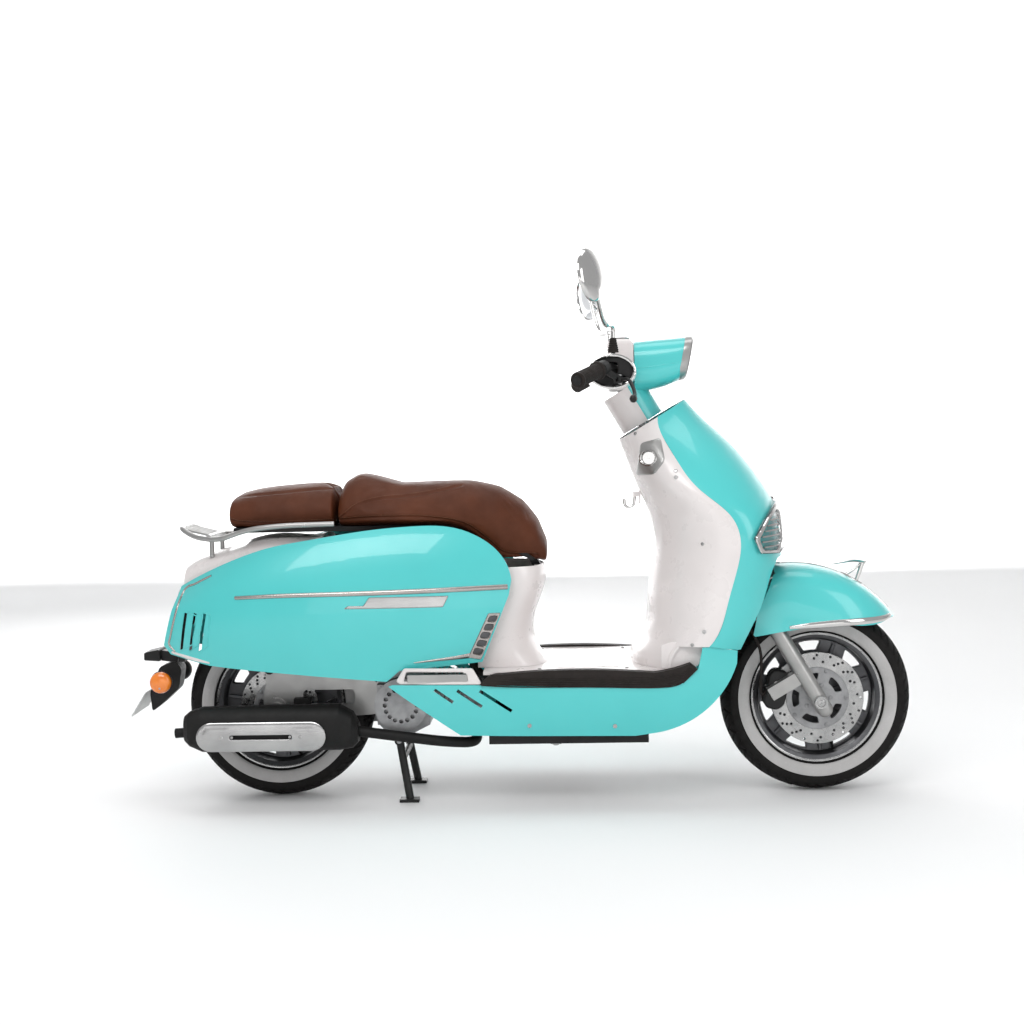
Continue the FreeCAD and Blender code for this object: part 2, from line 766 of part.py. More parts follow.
# ---------------------------------------------------------------- floor and skirts
# x, share of the half width
SKIRT_STATIONS = (
    (-340, 0.88), (-200, 0.96), (-50, 1.0), (150, 1.01), (330, 1.01), (440, 0.995), (500, 0.95), (560, 0.87),
)
SKIRT_LEVELS = ((160, -26), (215, -9), (290, 0), (350, 0), (402, -2))


def skirt_skin(side, outer, inner):
    wires = []
    for x, share in SKIRT_STATIONS:
        place = rear if x < 100 else front
        half = val("skirt_half") * share
        points = [place(x, level, side * (half + offset)) for level, offset in SKIRT_LEVELS]
        wires.append(band(points, AHEAD * side, outer, inner))
    return loft(wires)


SKIRT_OUTLINE = [
    [rear(-300, 310), rear(-84, 309)],
    [rear(-84, 309), front(350, 297)],
    [front(350, 297), front(402, 308)],
    [front(402, 308), front(437, 341)],
    [front(437, 341), front(448, 392)],
    [front(448, 392), front(472, 392.5)],
    [front(472, 392.5), front(533, 380.5)],
    [front(533, 380.5), front(531, 350)],
    [front(531, 350), front(489, 275), front(434, 225), front(339, 186)],
    [front(339, 186), front(286, 178)],
    [front(286, 178), rear(-138, 183)],
    [rear(-138, 183), rear(-311, 306)],
    [rear(-311, 306), rear(-300, 310)],
]
SKIRT_SLOTS = ((-198, 298, -154, 267), (-143, 296, -84, 256), (-88, 295, -12, 245))


def skirt(side):
    low, high = sorted((side * 100, side * 300))
    panel = skirt_skin(side, 0, -WALL).common(side_prism(SKIRT_OUTLINE, low, high))
    for x_high, z_high, x_low, z_low in SKIRT_SLOTS:
        start = rear(x_high, z_high, side * 150)
        along = rear(x_low, z_low, side * 150) - start
        slot = Part.makeBox(along.Length, 150, 8, Vector(0, 0, -4))
        lean = math.degrees(math.atan2(-along.z, along.x))
        slot.Placement = Placement(start, Rotation(Vector(0, 1, 0), lean))
        if side < 0:
            slot.Placement = Placement(start - Vector(0, 150, 0), slot.Placement.Rotation)
        panel = panel.cut(slot)
    return panel


add("side_skirts", together([skirt(side) for side in SIDES]))

FLOOR_AFT = -80
FLOOR_FORE = 430
STRETCH_TEXT = "Sizes.wheelbase - Sizes.rear_setback - Sizes.front_reach"
FLOOR_UNDER = "Sizes.floor_top - Sizes.floor_thick + Sizes.tyre_radius - Sizes.axle_datum"
floor = doc.addObject("Part::Box", "FloorPlate")
floor.setExpression("Length", f"{STRETCH_TEXT} + {FLOOR_FORE - FLOOR_AFT}")
floor.setExpression("Width", "Sizes.floor_half * 2")
floor.setExpression("Height", "Sizes.floor_thick")
floor.setExpression("Placement.Base.y", "-Sizes.floor_half")
floor.setExpression("Placement.Base.z", FLOOR_UNDER)
floor.Placement.Base.x = FLOOR_AFT
notch = doc.addObject("Part::Box", "TunnelNotch")
notch.setExpression("Length", "170")
notch.setExpression("Width", "Sizes.frame_tube * 2 + 12")
notch.setExpression("Height", "Sizes.floor_thick + 20")
notch.setExpression("Placement.Base.x", f"{STRETCH_TEXT} + 286")
notch.setExpression("Placement.Base.y", "-(Sizes.frame_tube + 6)")
notch.setExpression("Placement.Base.z", f"{FLOOR_UNDER} - 10")
floor_cut = doc.addObject("Part::Cut", "FloorCut")
floor_cut.Base = floor
floor_cut.Tool = notch
hatch = doc.addObject("Part::Box", "HatchPlate")
hatch.setExpression("Length", "150")
hatch.setExpression("Width", "Sizes.floor_half * 1.5")
hatch.setExpression("Height", "2")
hatch.setExpression("Placement.Base.x", f"({STRETCH_TEXT}) / 2 + 98")
hatch.setExpression("Placement.Base.y", "-Sizes.floor_half * 0.75")
hatch.setExpression("Placement.Base.z", f"{FLOOR_UNDER} + Sizes.floor_thick - 1")
floor_whole = doc.addObject("Part::Fuse", "FloorWhole")
floor_whole.Base = floor_cut
floor_whole.Tool = hatch
keep("floor_panel", floor_whole)

RUBBER_OUTLINE = [
    [rear(-88, 309.6), rear(-83, 316), rear(-62, 331), rear(-35, 335)],
    [rear(-35, 335), front(64, 342), front(330, 334)],
    [front(330, 334), front(376, 342), front(418, 355)],
    [front(418, 355), front(435, 341)],
    [front(435, 341), front(402, 308.6)],
    [front(402, 308.6), front(350, 297.6)],
    [front(350, 297.6), rear(-88, 309.6)],
]
rubbers = []
for side in SIDES:
    low, high = sorted((side * (val("floor_half") + CLEAR), side * (val("skirt_half") + 5)))
    rubbers.append(side_prism(RUBBER_OUTLINE, low, high))
add("floor_rubbers", together(rubbers))

belly_half = val("skirt_half") - 40
tray = block(rear(-70, 157, -belly_half), front(318, 200, belly_half))
hollow = block(rear(-66, 160, -belly_half + 4), front(314, 230, belly_half - 4))
rim_low = block(rear(-70, 192, -belly_half - 18), front(318, 200, belly_half + 18))
rim_hole = block(rear(-66, 180, -belly_half + 4), front(314, 230, belly_half - 4))


# ---------------------------------------------------------------- rear body
# x, half width share at the widest level, drawn height of the top edge
SIDE_STATIONS = (
    (20, 0.74, 704),
    (-60, 0.85, 704),
    (-160, 0.945, 702),
    (-300, 1.0, 696),
    (-450, 1.0, 676),
    (-600, 0.945, 650),
    (-720, 0.84, 612),
    (-820, 0.66, 566),
    (-905, 0.42, 536),
)


def side_curve(side, station):
    """One upright section of a side panel, from its lower edge to its top edge."""
    x, share, top = station
    half = val("body_half") * share
    crest = top - 505
    section = (
        (half - 24, 300),
        (half - 8, 385),
        (half, 470),
        (half - 5, 470 + crest * 0.45),
        (half - 22, 470 + crest * 0.85),
        (half - 62, top + 10),
    )
    return [rear(x, z, side * y) for y, z in section]


def side_skin(side, outer, inner):
    wires = []
    for station in SIDE_STATIONS:
        wires.append(band(side_curve(side, station), AHEAD * side, outer, inner))
    return loft(wires)


SIDE_OUTLINE = [
    [rear(-841, 546), rear(-805, 565), rear(-695, 614), rear(-598, 645), rear(-501, 662),
     rear(-374, 681), rear(-246, 691), rear(-151, 686), rear(-89, 663), rear(-39, 624), rear(-9, 556)],
    [rear(-9, 556), rear(-16, 519)],
    [rear(-16, 519), rear(-83, 358)],
    [rear(-83, 358), rear(-284, 342)],
    [rear(-284, 342), rear(-316, 315)],
    [rear(-316, 315), rear(-758, 355)],
    [rear(-758, 355), rear(-866, 378)],
    [rear(-866, 378), rear(-885, 400)],
    [rear(-885, 400), rear(-841, 546)],
]
LOUVRES = (-838, -812, -786)


def side_panel(side):
    low, high = sorted((side * 20, side * 300))
    panel = side_skin(side, 0, -WALL).common(side_prism(SIDE_OUTLINE, low, high))
    for x in LOUVRES:
        runs = [[rear(x, 392), rear(x + 18, 486)], [rear(x + 18, 486), rear(x + 26, 486)],
                [rear(x + 26, 486), rear(x + 8, 392)], [rear(x + 8, 392), rear(x, 392)]]
        panel = panel.cut(side_prism(runs, low, high))
    return panel


side_panels = {side: side_panel(side) for side in SIDES}
for side in SIDES:
    add("side_panel_" + SIDE_NAMES[side], side_panels[side])

TRIM_PROUD = 2.6
STRIP = [
    [rear(-682, 529), rear(-400, 539)],
    [rear(-400, 539), rear(-16, 546)],
    [rear(-16, 546), rear(-18, 533)],
    [rear(-18, 533), rear(-400, 527.5)],
    [rear(-400, 527.5), rear(-682, 521)],
    [rear(-682, 521), rear(-682, 529)],
]
BADGE = [
    [rear(-411, 496), rear(-352, 526)],
    [rear(-352, 526), rear(-157, 526)],
    [rear(-157, 526), rear(-174, 496)],
    [rear(-174, 496), rear(-411, 496)],
]
VENT = [
    [rear(-247, 368), rear(-107, 386)],
    [rear(-107, 386), rear(-58, 480)],
    [rear(-58, 480), rear(-34, 480)],
    [rear(-34, 480), rear(-86, 362)],
    [rear(-86, 362), rear(-244, 357)],
    [rear(-244, 357), rear(-247, 368)],
]


def side_trim(side):
    low, high = sorted((side * 20, side * 300))
    proud = side_skin(side, TRIM_PROUD, CLEAR / 3)
    return [proud.common(side_prism(runs, low, high)) for runs in (STRIP, BADGE, VENT)]


add("side_trims", together([piece for side in SIDES for piece in side_trim(side)]))

# x, crown height, edge height
TAIL_STATIONS = (
    (-480, 668, 640), (-560, 666, 636), (-652, 660, 622),
    (-717, 640, 594), (-770, 622, 566), (-838, 588, 540),
)


def half_width_at(x):
    """Widest half width of the side panels, interpolated between their stations."""
    for (x_a, share_a, _), (x_b, share_b, _) in zip(SIDE_STATIONS, SIDE_STATIONS[1:]):
        if x_b <= x <= x_a:
            along = (x - x_a) / (x_b - x_a)
            return val("body_half") * (share_a + (share_b - share_a) * along)
    return val("body_half") * SIDE_STATIONS[-1][1]


def tail_cover():
    wires = []
    for x, crown, edge in TAIL_STATIONS:
        half = half_width_at(x) - 62 - WALL - 6
        left = [(half, edge), (half * 0.86, edge + (crown - edge) * 0.55), (half * 0.5, crown - 5)]
        points = [rear(x, z, -y) for y, z in left] + [rear(x, crown)]
        points += [rear(x, z, y) for y, z in left[::-1]]
        wires.append(band(points, AHEAD, 0, -WALL))
    top = loft(wires)
    back_half = half_width_at(-880) - 30
    back = block(rear(-3.5, -86, -back_half), rear(0, 64, back_half))
    back.Placement = Placement(rear(-862, 474 - LIFT), Rotation(Vector(0, 1, 0), 16.6))
    return top, back


tail_top, tail_back = tail_cover()
add("tail_cover", together([tail_top, tail_back]))
lamp_turn = Rotation(Vector(0, 1, 0), 16.6)
lens = Part.makeCylinder(34, 10, Vector(-14.2, 0, -4), Vector(1, 0, 0))
lens.Placement = Placement(rear(-862, 474 - LIFT), lamp_turn)
add("tail_lamp", lens)


# ---------------------------------------------------------------- plate holder
def plate_holder():
    arm = block(rear(-968, 350, -16), rear(-884, 376, 16))
    spine = side_prism([
        [rear(-952, 352), rear(-956, 268)],
        [rear(-956, 268), rear(-950, 222)],
        [rear(-950, 222), rear(-916, 240)],
        [rear(-916, 240), rear(-894, 270)],
        [rear(-894, 270), rear(-870, 352)],
        [rear(-870, 352), rear(-952, 352)],
    ], -26, 26)
    crossbar = rod(rear(-893, 308, -88), rear(-893, 308, 88), 7)
    return fused([arm, spine, crossbar])


INDICATOR_RADIUS = 26
holder = plate_holder()
plate_up = (rear(-938, 282) - rear(-979, 214)).normalize()
plate = Part.makeBox(2, 170, (rear(-938, 282) - rear(-979, 214)).Length)
plate.Placement = Placement(rear(-981, 214, -85), Rotation(Vector(0, 0, 1), plate_up))
plate = plate.cut(holder)
reflectors = []
for side in SIDES:
    reflectors.append(rod(rear(-893, 308, side * 88.3), rear(-893, 308, side * 112), INDICATOR_RADIUS))
add("plate_holder", together([holder, plate] + reflectors))


# ---------------------------------------------------------------- grab rail
RACK_Y = 158


def grab_rail():
    rails = []
    path = [rear(-440, 700, -RACK_Y + 6), rear(-560, 699, -RACK_Y), rear(-655, 690, -RACK_Y + 10),
            rear(-735, 662, -118), rear(-800, 668, -84), rear(-842, 690, -62)]
    path += [rear(point.x, point.z - LIFT, -point.y) for point in path[::-1]]
    rails.append(tube(path, val("rack_tube")))
    for y in (-44, -15, 15, 44):
        rails.append(rod(rear(-842, 689, y), rear(-758, 668, y), 5))
    rails.append(rod(rear(-764, 669, -96), rear(-764, 669, 96), val("rack_tube")))
    return fused(rails)


rack = grab_rail()


# ---------------------------------------------------------------- seat
def cushion(stations, half, pan):
    """A closed cushion from upright rounded sections: x, underside, top, width share."""
    wires = []
    for x, low, high, share in stations:
        wide = half * share
        rise = high - low
        ring = [(0, low), (-wide * 0.45, low), (-wide * 0.8, low + rise * 0.05), (-wide, low + rise * 0.30),
                (-wide * 0.94, low + rise * 0.66), (-wide * 0.66, high - rise * 0.08), (0, high),
                (wide * 0.66, high - rise * 0.08), (wide * 0.94, low + rise * 0.66),
                (wide, low + rise * 0.30), (wide * 0.8, low + rise * 0.05), (wide * 0.45, low)]
        wires.append(closed_spline([rear(x, z, y) for y, z in ring]))
    pad = Part.makeLoft(wires, True, True)
    return largest(pad.cut(pan.translated(Vector(0, 0, CLEAR))))


PAN_TOP = 690
RIDER_STATIONS = (
    (-440, 690.3, 770, 0.80), (-425, 690.3, 806, 0.88), (-392, 690.3, 818, 0.93), (-350, 690.3, 806, 0.96),
    (-290, 690.3, 788, 1.0), (-200, 690.3, 790, 1.0), (-110, 680, 792, 0.97), (-40, 652, 780, 0.90),
    (20, 616, 744, 0.80), (58, 597, 694, 0.70), (80, 591, 640, 0.60),
)
PILLION_STATIONS = (
    (-712, 690.3, 768, 0.86), (-640, 690.3, 786, 0.98),
    (-550, 690.3, 791, 1.0), (-446, 690.3, 794, 0.985),
)
SEAT_PIN = rear(52, 574)
SEAT_LUG_HALF = 20
PAN = [
    [rear(-700, PAN_TOP), rear(-700, PAN_TOP - 12)],
    [rear(-700, PAN_TOP - 12), rear(-190, PAN_TOP - 12)],
    [rear(-190, PAN_TOP - 12), rear(-110, 670), rear(-40, 642), rear(20, 608), rear(44, 596)],
    [rear(44, 596), rear(48, 602)],
    [rear(48, 602), rear(20, 622), rear(-40, 654), rear(-110, 680), rear(-200, PAN_TOP)],
    [rear(-200, PAN_TOP), rear(-700, PAN_TOP)],
]
LUG = [
    [rear(24, 610), rear(43, 570)],
    [rear(43, 570), rear(52, 564), rear(61, 571)],
    [rear(61, 571), rear(60, 580)],
    [rear(60, 580), rear(46, 604)],
    [rear(46, 604), rear(24, 610)],
]
PIN_RADIUS = 4
pan_plate = side_prism(PAN, -val("rider_half") + 50, val("rider_half") - 50)
pan_lug = side_prism(LUG, -SEAT_LUG_HALF, SEAT_LUG_HALF)
pin_reach = Vector(0, 60, 0)
pin_hole = rod(SEAT_PIN - pin_reach, SEAT_PIN + pin_reach, PIN_RADIUS + val("run_clear"))
pan_shape = fused([pan_plate, pan_lug]).cut(pin_hole)
add("seat_pan", pan_shape)
add("rider_cushion", cushion(RIDER_STATIONS, val("rider_half"), pan_shape))
add("pillion_cushion", cushion(PILLION_STATIONS, val("pillion_half"), pan_shape))

# height, front face, half width, shoulder
CENTRE_STATIONS = ((338.3, 76, 134), (400, 42, 136), (458, 44, 136), (520, 66, 134), (584, 68, 130))


def centre_curve(station):
    height, nose, half = station
    quarter = [(-96, half), (-30, half - 2), (nose - 34, half * 0.82), (nose - 8, half * 0.46)]
    left = [rear(x, height, y) for x, y in quarter]
    right = [rear(x, height, -y) for x, y in quarter]
    return right + [rear(nose, height)] + left[::-1]


centre_shell = loft([band(centre_curve(station), UP, 0, -WALL) for station in CENTRE_STATIONS])
hinge_ears = []
for side in SIDES:
    low, high = sorted((side * (SEAT_LUG_HALF + CLEAR), side * (SEAT_LUG_HALF + 12)))
    hinge_ears.append(side_prism([
        [rear(44, 538), rear(44, 581)],
        [rear(44, 581), rear(60, 581)],
        [rear(60, 581), rear(60, 538)],
        [rear(60, 538), rear(44, 538)],
    ], low, high))
hinge_pin = rod(SEAT_PIN - Vector(0, 32, 0), SEAT_PIN + Vector(0, 32, 0), PIN_RADIUS)
lug_notch = block(rear(40, 560, -SEAT_LUG_HALF - 1), rear(90, 620, SEAT_LUG_HALF + 1))
centre_shell = centre_shell.cut(lug_notch)
hinge_shelf = block(rear(-10, 536, -34), rear(64, 540, 34))
centre_front = reach(centre_shell, rear(0, 538), AHEAD)
hinge_tie = block(rear(50, 536, -12), rear(centre_front + 1.5, 540, 12))
add("center_body", fused([centre_shell.cut(hinge_shelf), hinge_pin, hinge_shelf, hinge_tie] + hinge_ears))


# ---------------------------------------------------------------- handlebar and its housing
BAR = [
    front(159, 1032, -val("bar_half")), front(224, 1064, -218), front(252, 1064, -150),
    front(252, 1064, 150), front(224, 1064, 218), front(159, 1032, val("bar_half")),
]
STEM_NOSE = forked(AXIS_U, STEM_TOP + CLEAR)
bar_tube = tube(BAR, val("bar_radius"))
clamp = rod(STEM_NOSE, forked(AXIS_U, STEM_TOP + 42), 20)

GRIP_FROM = 34
GRIP_LENGTH = 114


def bar_end(side):
    """The bar's corner before its straight end, and the direction outward."""
    corner, tip = (BAR[1], BAR[0]) if side < 0 else (BAR[4], BAR[5])
    return corner, (tip - corner).normalize(), (tip - corner).Length


def grip(label, side):
    corner, outward, _ = bar_end(side)
    start = corner + outward * GRIP_FROM
    end = start + outward * GRIP_LENGTH
    barrel = rod(start, end, val("grip_radius"))
    collar = rod(start, start + outward * 7, val("grip_radius") + 4.5)
    shape = fused([barrel, collar]).cut(rod(start, end, val("bar_radius") + val("run_clear")))
    return add(label, shape)


grip("throttle_grip", -1)
grip("left_grip", 1)

POD_Y = 186
POD_X = 244
POD_Z = 1056


# across, half length, half height
POD_STATIONS = ((-POD_Y, 57, 42), (-90, 62, 46), (0, 63, 48), (90, 62, 46), (POD_Y, 57, 42))


def oval(y, half_x, half_z, x=POD_X, z=POD_Z):
    ring = []
    for index in range(12):
        angle = math.radians(30 * index)
        ring.append(front(x + half_x * math.cos(angle), z + half_z * math.sin(angle), y))
    return closed_spline(ring)


def squared(value, power):
    """A sine or cosine whose circle is drawn out towards a square."""
    return math.copysign(abs(value) ** power, value)


def rounded_ring(x, low, high, half, lean=0.0):
    """An upright rounded section of the lamp housing."""
    middle = (low + high) / 2
    rise = (high - low) / 2
    ring = []
    for index in range(16):
        angle = math.radians(22.5 * index)
        y = half * squared(math.cos(angle), 0.62)
        z = middle + rise * squared(math.sin(angle), 0.62)
        ring.append(front(x + lean * (z - middle), z, y))
    return closed_spline(ring)


def housing(grow):
    """The lamp housing's outer body, larger by grow."""
    rings = [
        rounded_ring(302 - grow, 1012 - grow, 1132 + grow, 76 + grow),
        rounded_ring(345, 1012 - grow, 1136 + grow, 80 + grow, 0.05),
        rounded_ring(385, 1020 - grow, 1139 + grow, 84 + grow, 0.12),
        rounded_ring(424 + min(grow, 0) * 5, 1034 - grow, 1142 + grow, 86 + grow, 0.2),
    ]
    return loft(rings)


NECK_LOW = val("neck_w")
NECK_HIGH = 908
neck_solid = rod(forked(AXIS_U, NECK_LOW), forked(AXIS_U, NECK_HIGH), val("neck_radius"))
neck_hollow = rod(forked(AXIS_U, NECK_LOW - 5), forked(AXIS_U, NECK_HIGH + 30), val("neck_radius") - WALL)
ahead_half = fork_block((AXIS_U + 12 + CLEAR, 200), (-150, 150), (NECK_LOW - 20, NECK_HIGH + 60))
behind_half = fork_block((-200, AXIS_U + 12), (-150, 150), (NECK_LOW - 20, NECK_HIGH + 60))
outer_housing = housing(0)
housing_core = housing(-WALL)
neck_front = neck_solid.common(ahead_half).cut(neck_hollow)
lamp_shell = outer_housing.fuse(neck_front).cut(neck_hollow)
bezel_cut = rounded_ring(396, 1046, 1128, 72, 0.2)
bezel_far = rounded_ring(450, 1050, 1132, 74, 0.2)
lamp_shell = lamp_shell.cut(housing_core).cut(loft([bezel_cut, bezel_far]))
add("nacelle_front", lamp_shell)

pod = loft([oval(y, half_x, half_z) for y, half_x, half_z in POD_STATIONS])
pod_core = loft([oval(y * 1.006, half_x - 4, half_z - 4) for y, half_x, half_z in POD_STATIONS])
hood = block(front(236, 1050, -70), front(299, 1139, 70))
hood = hood.makeFillet(14, [edge for edge in hood.Edges if edge.BoundBox.ZMin > 1138 + LIFT])
hood_core = block(front(240, 1046, -66), front(310, 1134, 66))
neck_rear = neck_solid.common(behind_half)
cover = fused([pod, hood, neck_rear]).cut(neck_hollow).cut(pod_core).cut(hood_core)
cover = cover.cut(housing(CLEAR))
DIAL_AT = front(268, 1137)
dial_seat = rod(DIAL_AT - Vector(0, 0, 30), DIAL_AT + Vector(0, 0, 20), 26 + CLEAR)
cover = cover.cut(dial_seat)
cover = cover.cut(tube(BAR, val("bar_radius") + 1))
add("instrument_dial", rod(DIAL_AT - Vector(0, 0, 6), DIAL_AT + Vector(0, 0, 5), 26))

glass_low = rounded_ring(412, 1046 + CLEAR, 1128 - CLEAR, 72 - CLEAR, 0.2)
glass_mid = rounded_ring(426, 1047.5, 1129, 72, 0.2)
glass_high = rounded_ring(434, 1060, 1120, 62, 0.2)
add("headlamp", largest(loft([glass_low, glass_mid, glass_high]).cut(lamp_shell)))

# brake levers: a perch on the bar, and a lever that turns on the perch's pin
LEVER_PIN = (262, 1036, 207)


def side_point(point, side):
    return front(point[0], point[1], side * point[2])


def perch(side):
    corner, outward, _ = bar_end(side)
    collar_at = corner + outward * 12
    collar = rod(corner - outward * 2, corner + outward * 24, val("bar_radius") + 7)
    pin_at = side_point(LEVER_PIN, side)
    arm = rod(collar_at, pin_at + Vector(-10, 0, 6), 8)
    low_ear = rod(pin_at - Vector(0, 0, 9), pin_at - Vector(0, 0, 5 + CLEAR), 6)
    high_ear = rod(pin_at + Vector(0, 0, 5 + CLEAR), pin_at + Vector(0, 0, 9), 6)
    back_wall = block(pin_at + Vector(-15, -7, -9), pin_at + Vector(-10.5, 7, 9))
    bridge_low = block(pin_at + Vector(-14, -7, -9), pin_at + Vector(0, 7, -5 - CLEAR))
    bridge_high = block(pin_at + Vector(-14, -7, 5 + CLEAR), pin_at + Vector(0, 7, 9))
    pin = rod(pin_at - Vector(0, 0, 9), pin_at + Vector(0, 0, 9), 3)
    solid = fused([collar, arm, low_ear, high_ear, back_wall, bridge_low, bridge_high])
    swept = rod(pin_at - Vector(0, 0, 5 + CLEAR), pin_at + Vector(0, 0, 5 + CLEAR), 9.5)
    solid = solid.cut(swept)
    solid = fused([solid, pin])
    return solid.cut(tube(BAR, val("bar_radius")))


def brake_lever(side):
    pin_at = side_point(LEVER_PIN, side)
    boss = rod(pin_at - Vector(0, 0, 5), pin_at + Vector(0, 0, 5), 8)
    path = [side_point(point, side) for point in ((266, 1036, 209), (282, 1036, 229), (292, 1014, 252),
                                                      (294, 996, 292), (288, 988, 338))]
    blade = tube(path, 4.6)
    tip = Part.makeSphere(9, path[-1])
    lever = fused([boss, blade, tip])
    return lever.cut(rod(pin_at - Vector(0, 0, 9), pin_at + Vector(0, 0, 9), 3 + val("run_clear")))


perches = {side: perch(side) for side in SIDES}
for side in SIDES:
    add("brake_lever_" + SIDE_NAMES[side], brake_lever(side))

MIRROR_FOOT = (248, 1102, 158)
MIRROR_TOE_IN = 27


def mirror_mount(side):
    """The fixed threaded boss that the mirror stem turns on."""
    foot = side_point(MIRROR_FOOT, side)
    return rod(foot - Vector(0, 0, 34), foot + Vector(0, 0, 10), 5)


def mirror(side):
    foot = side_point(MIRROR_FOOT, side)
    boot = Part.makeCone(13, 8, 34, foot, Vector(0, 0, 1))
    out = val("mirror_out")
    stem_path = [foot + Vector(0, 0, 30), foot + Vector(-2, side * 4, 62),
                 front(214, 1206, side * (out - 66)), front(206, 1262, side * (out - 20))]
    stem = tube(stem_path, 5.5)
    toe_in = math.radians(MIRROR_TOE_IN)
    face = Vector(-math.cos(toe_in), -side * math.sin(toe_in), -0.12).normalize()
    centre = front(196, 1272, side * out)
    cap_height = 20
    radius = val("mirror_radius")
    ball_radius = (radius * radius + cap_height * cap_height) / (2 * cap_height)
    ball = Part.makeSphere(ball_radius, Vector(0, 0, cap_height - ball_radius))
    dome = ball.common(Part.makeCylinder(radius + 1, cap_height + 1))
    rim = Part.makeCylinder(radius, 5, Vector(0, 0, -5))
    dish = Part.makeCylinder(radius - 3, 2, Vector(0, 0, -5))
    head = fused([dome, rim]).cut(dish)
    head.Placement = Placement(centre, Rotation(Vector(0, 0, 1), face * -1))
    solid = fused([boot, stem, head])
    bore = rod(foot - Vector(0, 0, 1), foot + Vector(0, 0, 11), 5 + val("run_clear"))
    return solid.cut(bore)


for side in SIDES:
    add("mirror_" + SIDE_NAMES[side], mirror(side))

BUTTON_AT = (POD_X - 60, 1052, 128)
button_bores = []
for side, label in ((-1, "start_button"), (1, "horn_button")):
    spot = side_point(BUTTON_AT, side)
    add(label, rod(spot + Vector(12, 0, 0), spot + Vector(-2, 0, 0), 7))
    button_bores.append(rod(spot + Vector(30, 0, 0), spot + Vector(-20, 0, 0), 7 + val("run_clear")))

bar_parts = [bar_tube, clamp]
for side in SIDES:
    bar_parts += [perches[side], mirror_mount(side)]
    post = front(252, 1064, side * 40)
    bar_parts.append(rod(post, front(252, 1134, side * 40) - Vector(0, 0, CLEAR), 5))
    foot = side_point(MIRROR_FOOT, side)
    cover = cover.cut(rod(foot - Vector(0, 0, 40), foot + Vector(0, 0, 10), 5 + CLEAR))
    cover = cover.cut(rod(foot - Vector(0, 0, CLEAR), foot + Vector(0, 0, 34), 13.5))
add("handlebar", fused(bar_parts))
for bore in button_bores:
    cover = cover.cut(bore)
add("nacelle_rear", largest(cover.cut(lamp_shell)))


# ---------------------------------------------------------------- power unit
SWING_PIN = rear(-236, 344)
SWING_PIN_RADIUS = 8
HUB_END = val("hub_width") / 2
ARM_IN = -(HUB_END + val("disc_thick") + 14)
CVT_IN = HUB_END + 20


def across(point, y_low, y_high, radius):
    return rod(Vector(point.x, y_low, point.z), Vector(point.x, y_high, point.z), radius)


def swing_bore(shape):
    return shape.cut(across(SWING_PIN, -200, 200, SWING_PIN_RADIUS + val("run_clear")))


STAND_PIN = rear(-300, 150)
STAND_PIN_RADIUS = 6
FIN_XS = tuple(range(-204, -128, 11))
CYL_Z = 262


def engine():
    case = side_prism([
        [rear(-352, 306), rear(-352, 196)],
        [rear(-352, 196), rear(-330, 170)],
        [rear(-330, 170), rear(-262, 170)],
        [rear(-262, 170), rear(-222, 190)],
        [rear(-222, 190), rear(-212, 300)],
        [rear(-212, 300), rear(-236, 320), rear(-320, 322), rear(-352, 306)],
    ], -92, CVT_IN - CLEAR)
    lug = side_prism([
        [rear(-262, 312), rear(-252, 352)],
        [rear(-252, 352), rear(-236, 362), rear(-220, 352)],
        [rear(-220, 352), rear(-214, 305)],
        [rear(-214, 305), rear(-262, 312)],
    ], -34, 34)
    barrel = rod(rear(-216, CYL_Z), rear(-112, CYL_Z), 40)
    head = rod(rear(-128, CYL_Z), rear(-96, CYL_Z), 47)
    fins = [rod(rear(x, CYL_Z), rear(x + 4, CYL_Z), 56) for x in FIN_XS]
    cowl = across(rear(-290, 246), -128, -90, 66)
    guide = block(rear(-350, 196, -118), rear(-300, 296, -91))
    shape = fused([case, lug, barrel, head, cowl, guide] + fins)
    for index in range(16):
        angle = math.radians(22.5 * index)
        hole = rear(-290 + 40 * math.cos(angle), 246 + 40 * math.sin(angle))
        shape = shape.cut(across(hole, -140, -110, 5.5))
    spine = block(rear(-330, 152, -24), rear(-268, 174, 24))
    reach_y = val("stand_y") + 16
    pin = across(STAND_PIN, -reach_y, reach_y, STAND_PIN_RADIUS)
    return swing_bore(fused([shape, spine, pin]))


def cvt_cover():
    back = REAR_AXLE.x
    inner = side_prism([
        [rear(-214, 262), rear(-230, 304), rear(-290, 326)],
        [rear(-290, 326), rear(-460, 322), rear(-606, 312)],
        [rear(-606, 312), rear(-672, 286), rear(-686, 237), rear(-668, 184), rear(-606, 164)],
        [rear(-606, 164), rear(-460, 168), rear(-290, 170)],
        [rear(-290, 170), rear(-228, 196), rear(-214, 262)],
    ], CVT_IN, CVT_IN + 62)
    outer = side_prism([
        [rear(-232, 250), rear(-250, 290), rear(-296, 308)],
        [rear(-296, 308), rear(-460, 302), rear(-600, 292)],
        [rear(-600, 292), rear(-650, 270), rear(-662, 237), rear(-648, 204), rear(-600, 184)],
        [rear(-600, 184), rear(-460, 186), rear(-296, 190)],
        [rear(-296, 190), rear(-246, 212), rear(-232, 250)],
    ], CVT_IN + 60, CVT_IN + 74)
    shape = fused([inner, outer])
    hub = across(REAR_AXLE, HUB_END + CLEAR, CVT_IN + 2, 26)
    return fused([shape, hub]).cut(across(REAR_AXLE, 0, CVT_IN + 30, val("axle_radius") + 0.2))


SHOCK_LOW = rear(-618, 338)
SHOCK_HIGH = rear(-560, 560)
SHOCK_BOLT = 5
LUG_HALF = 9


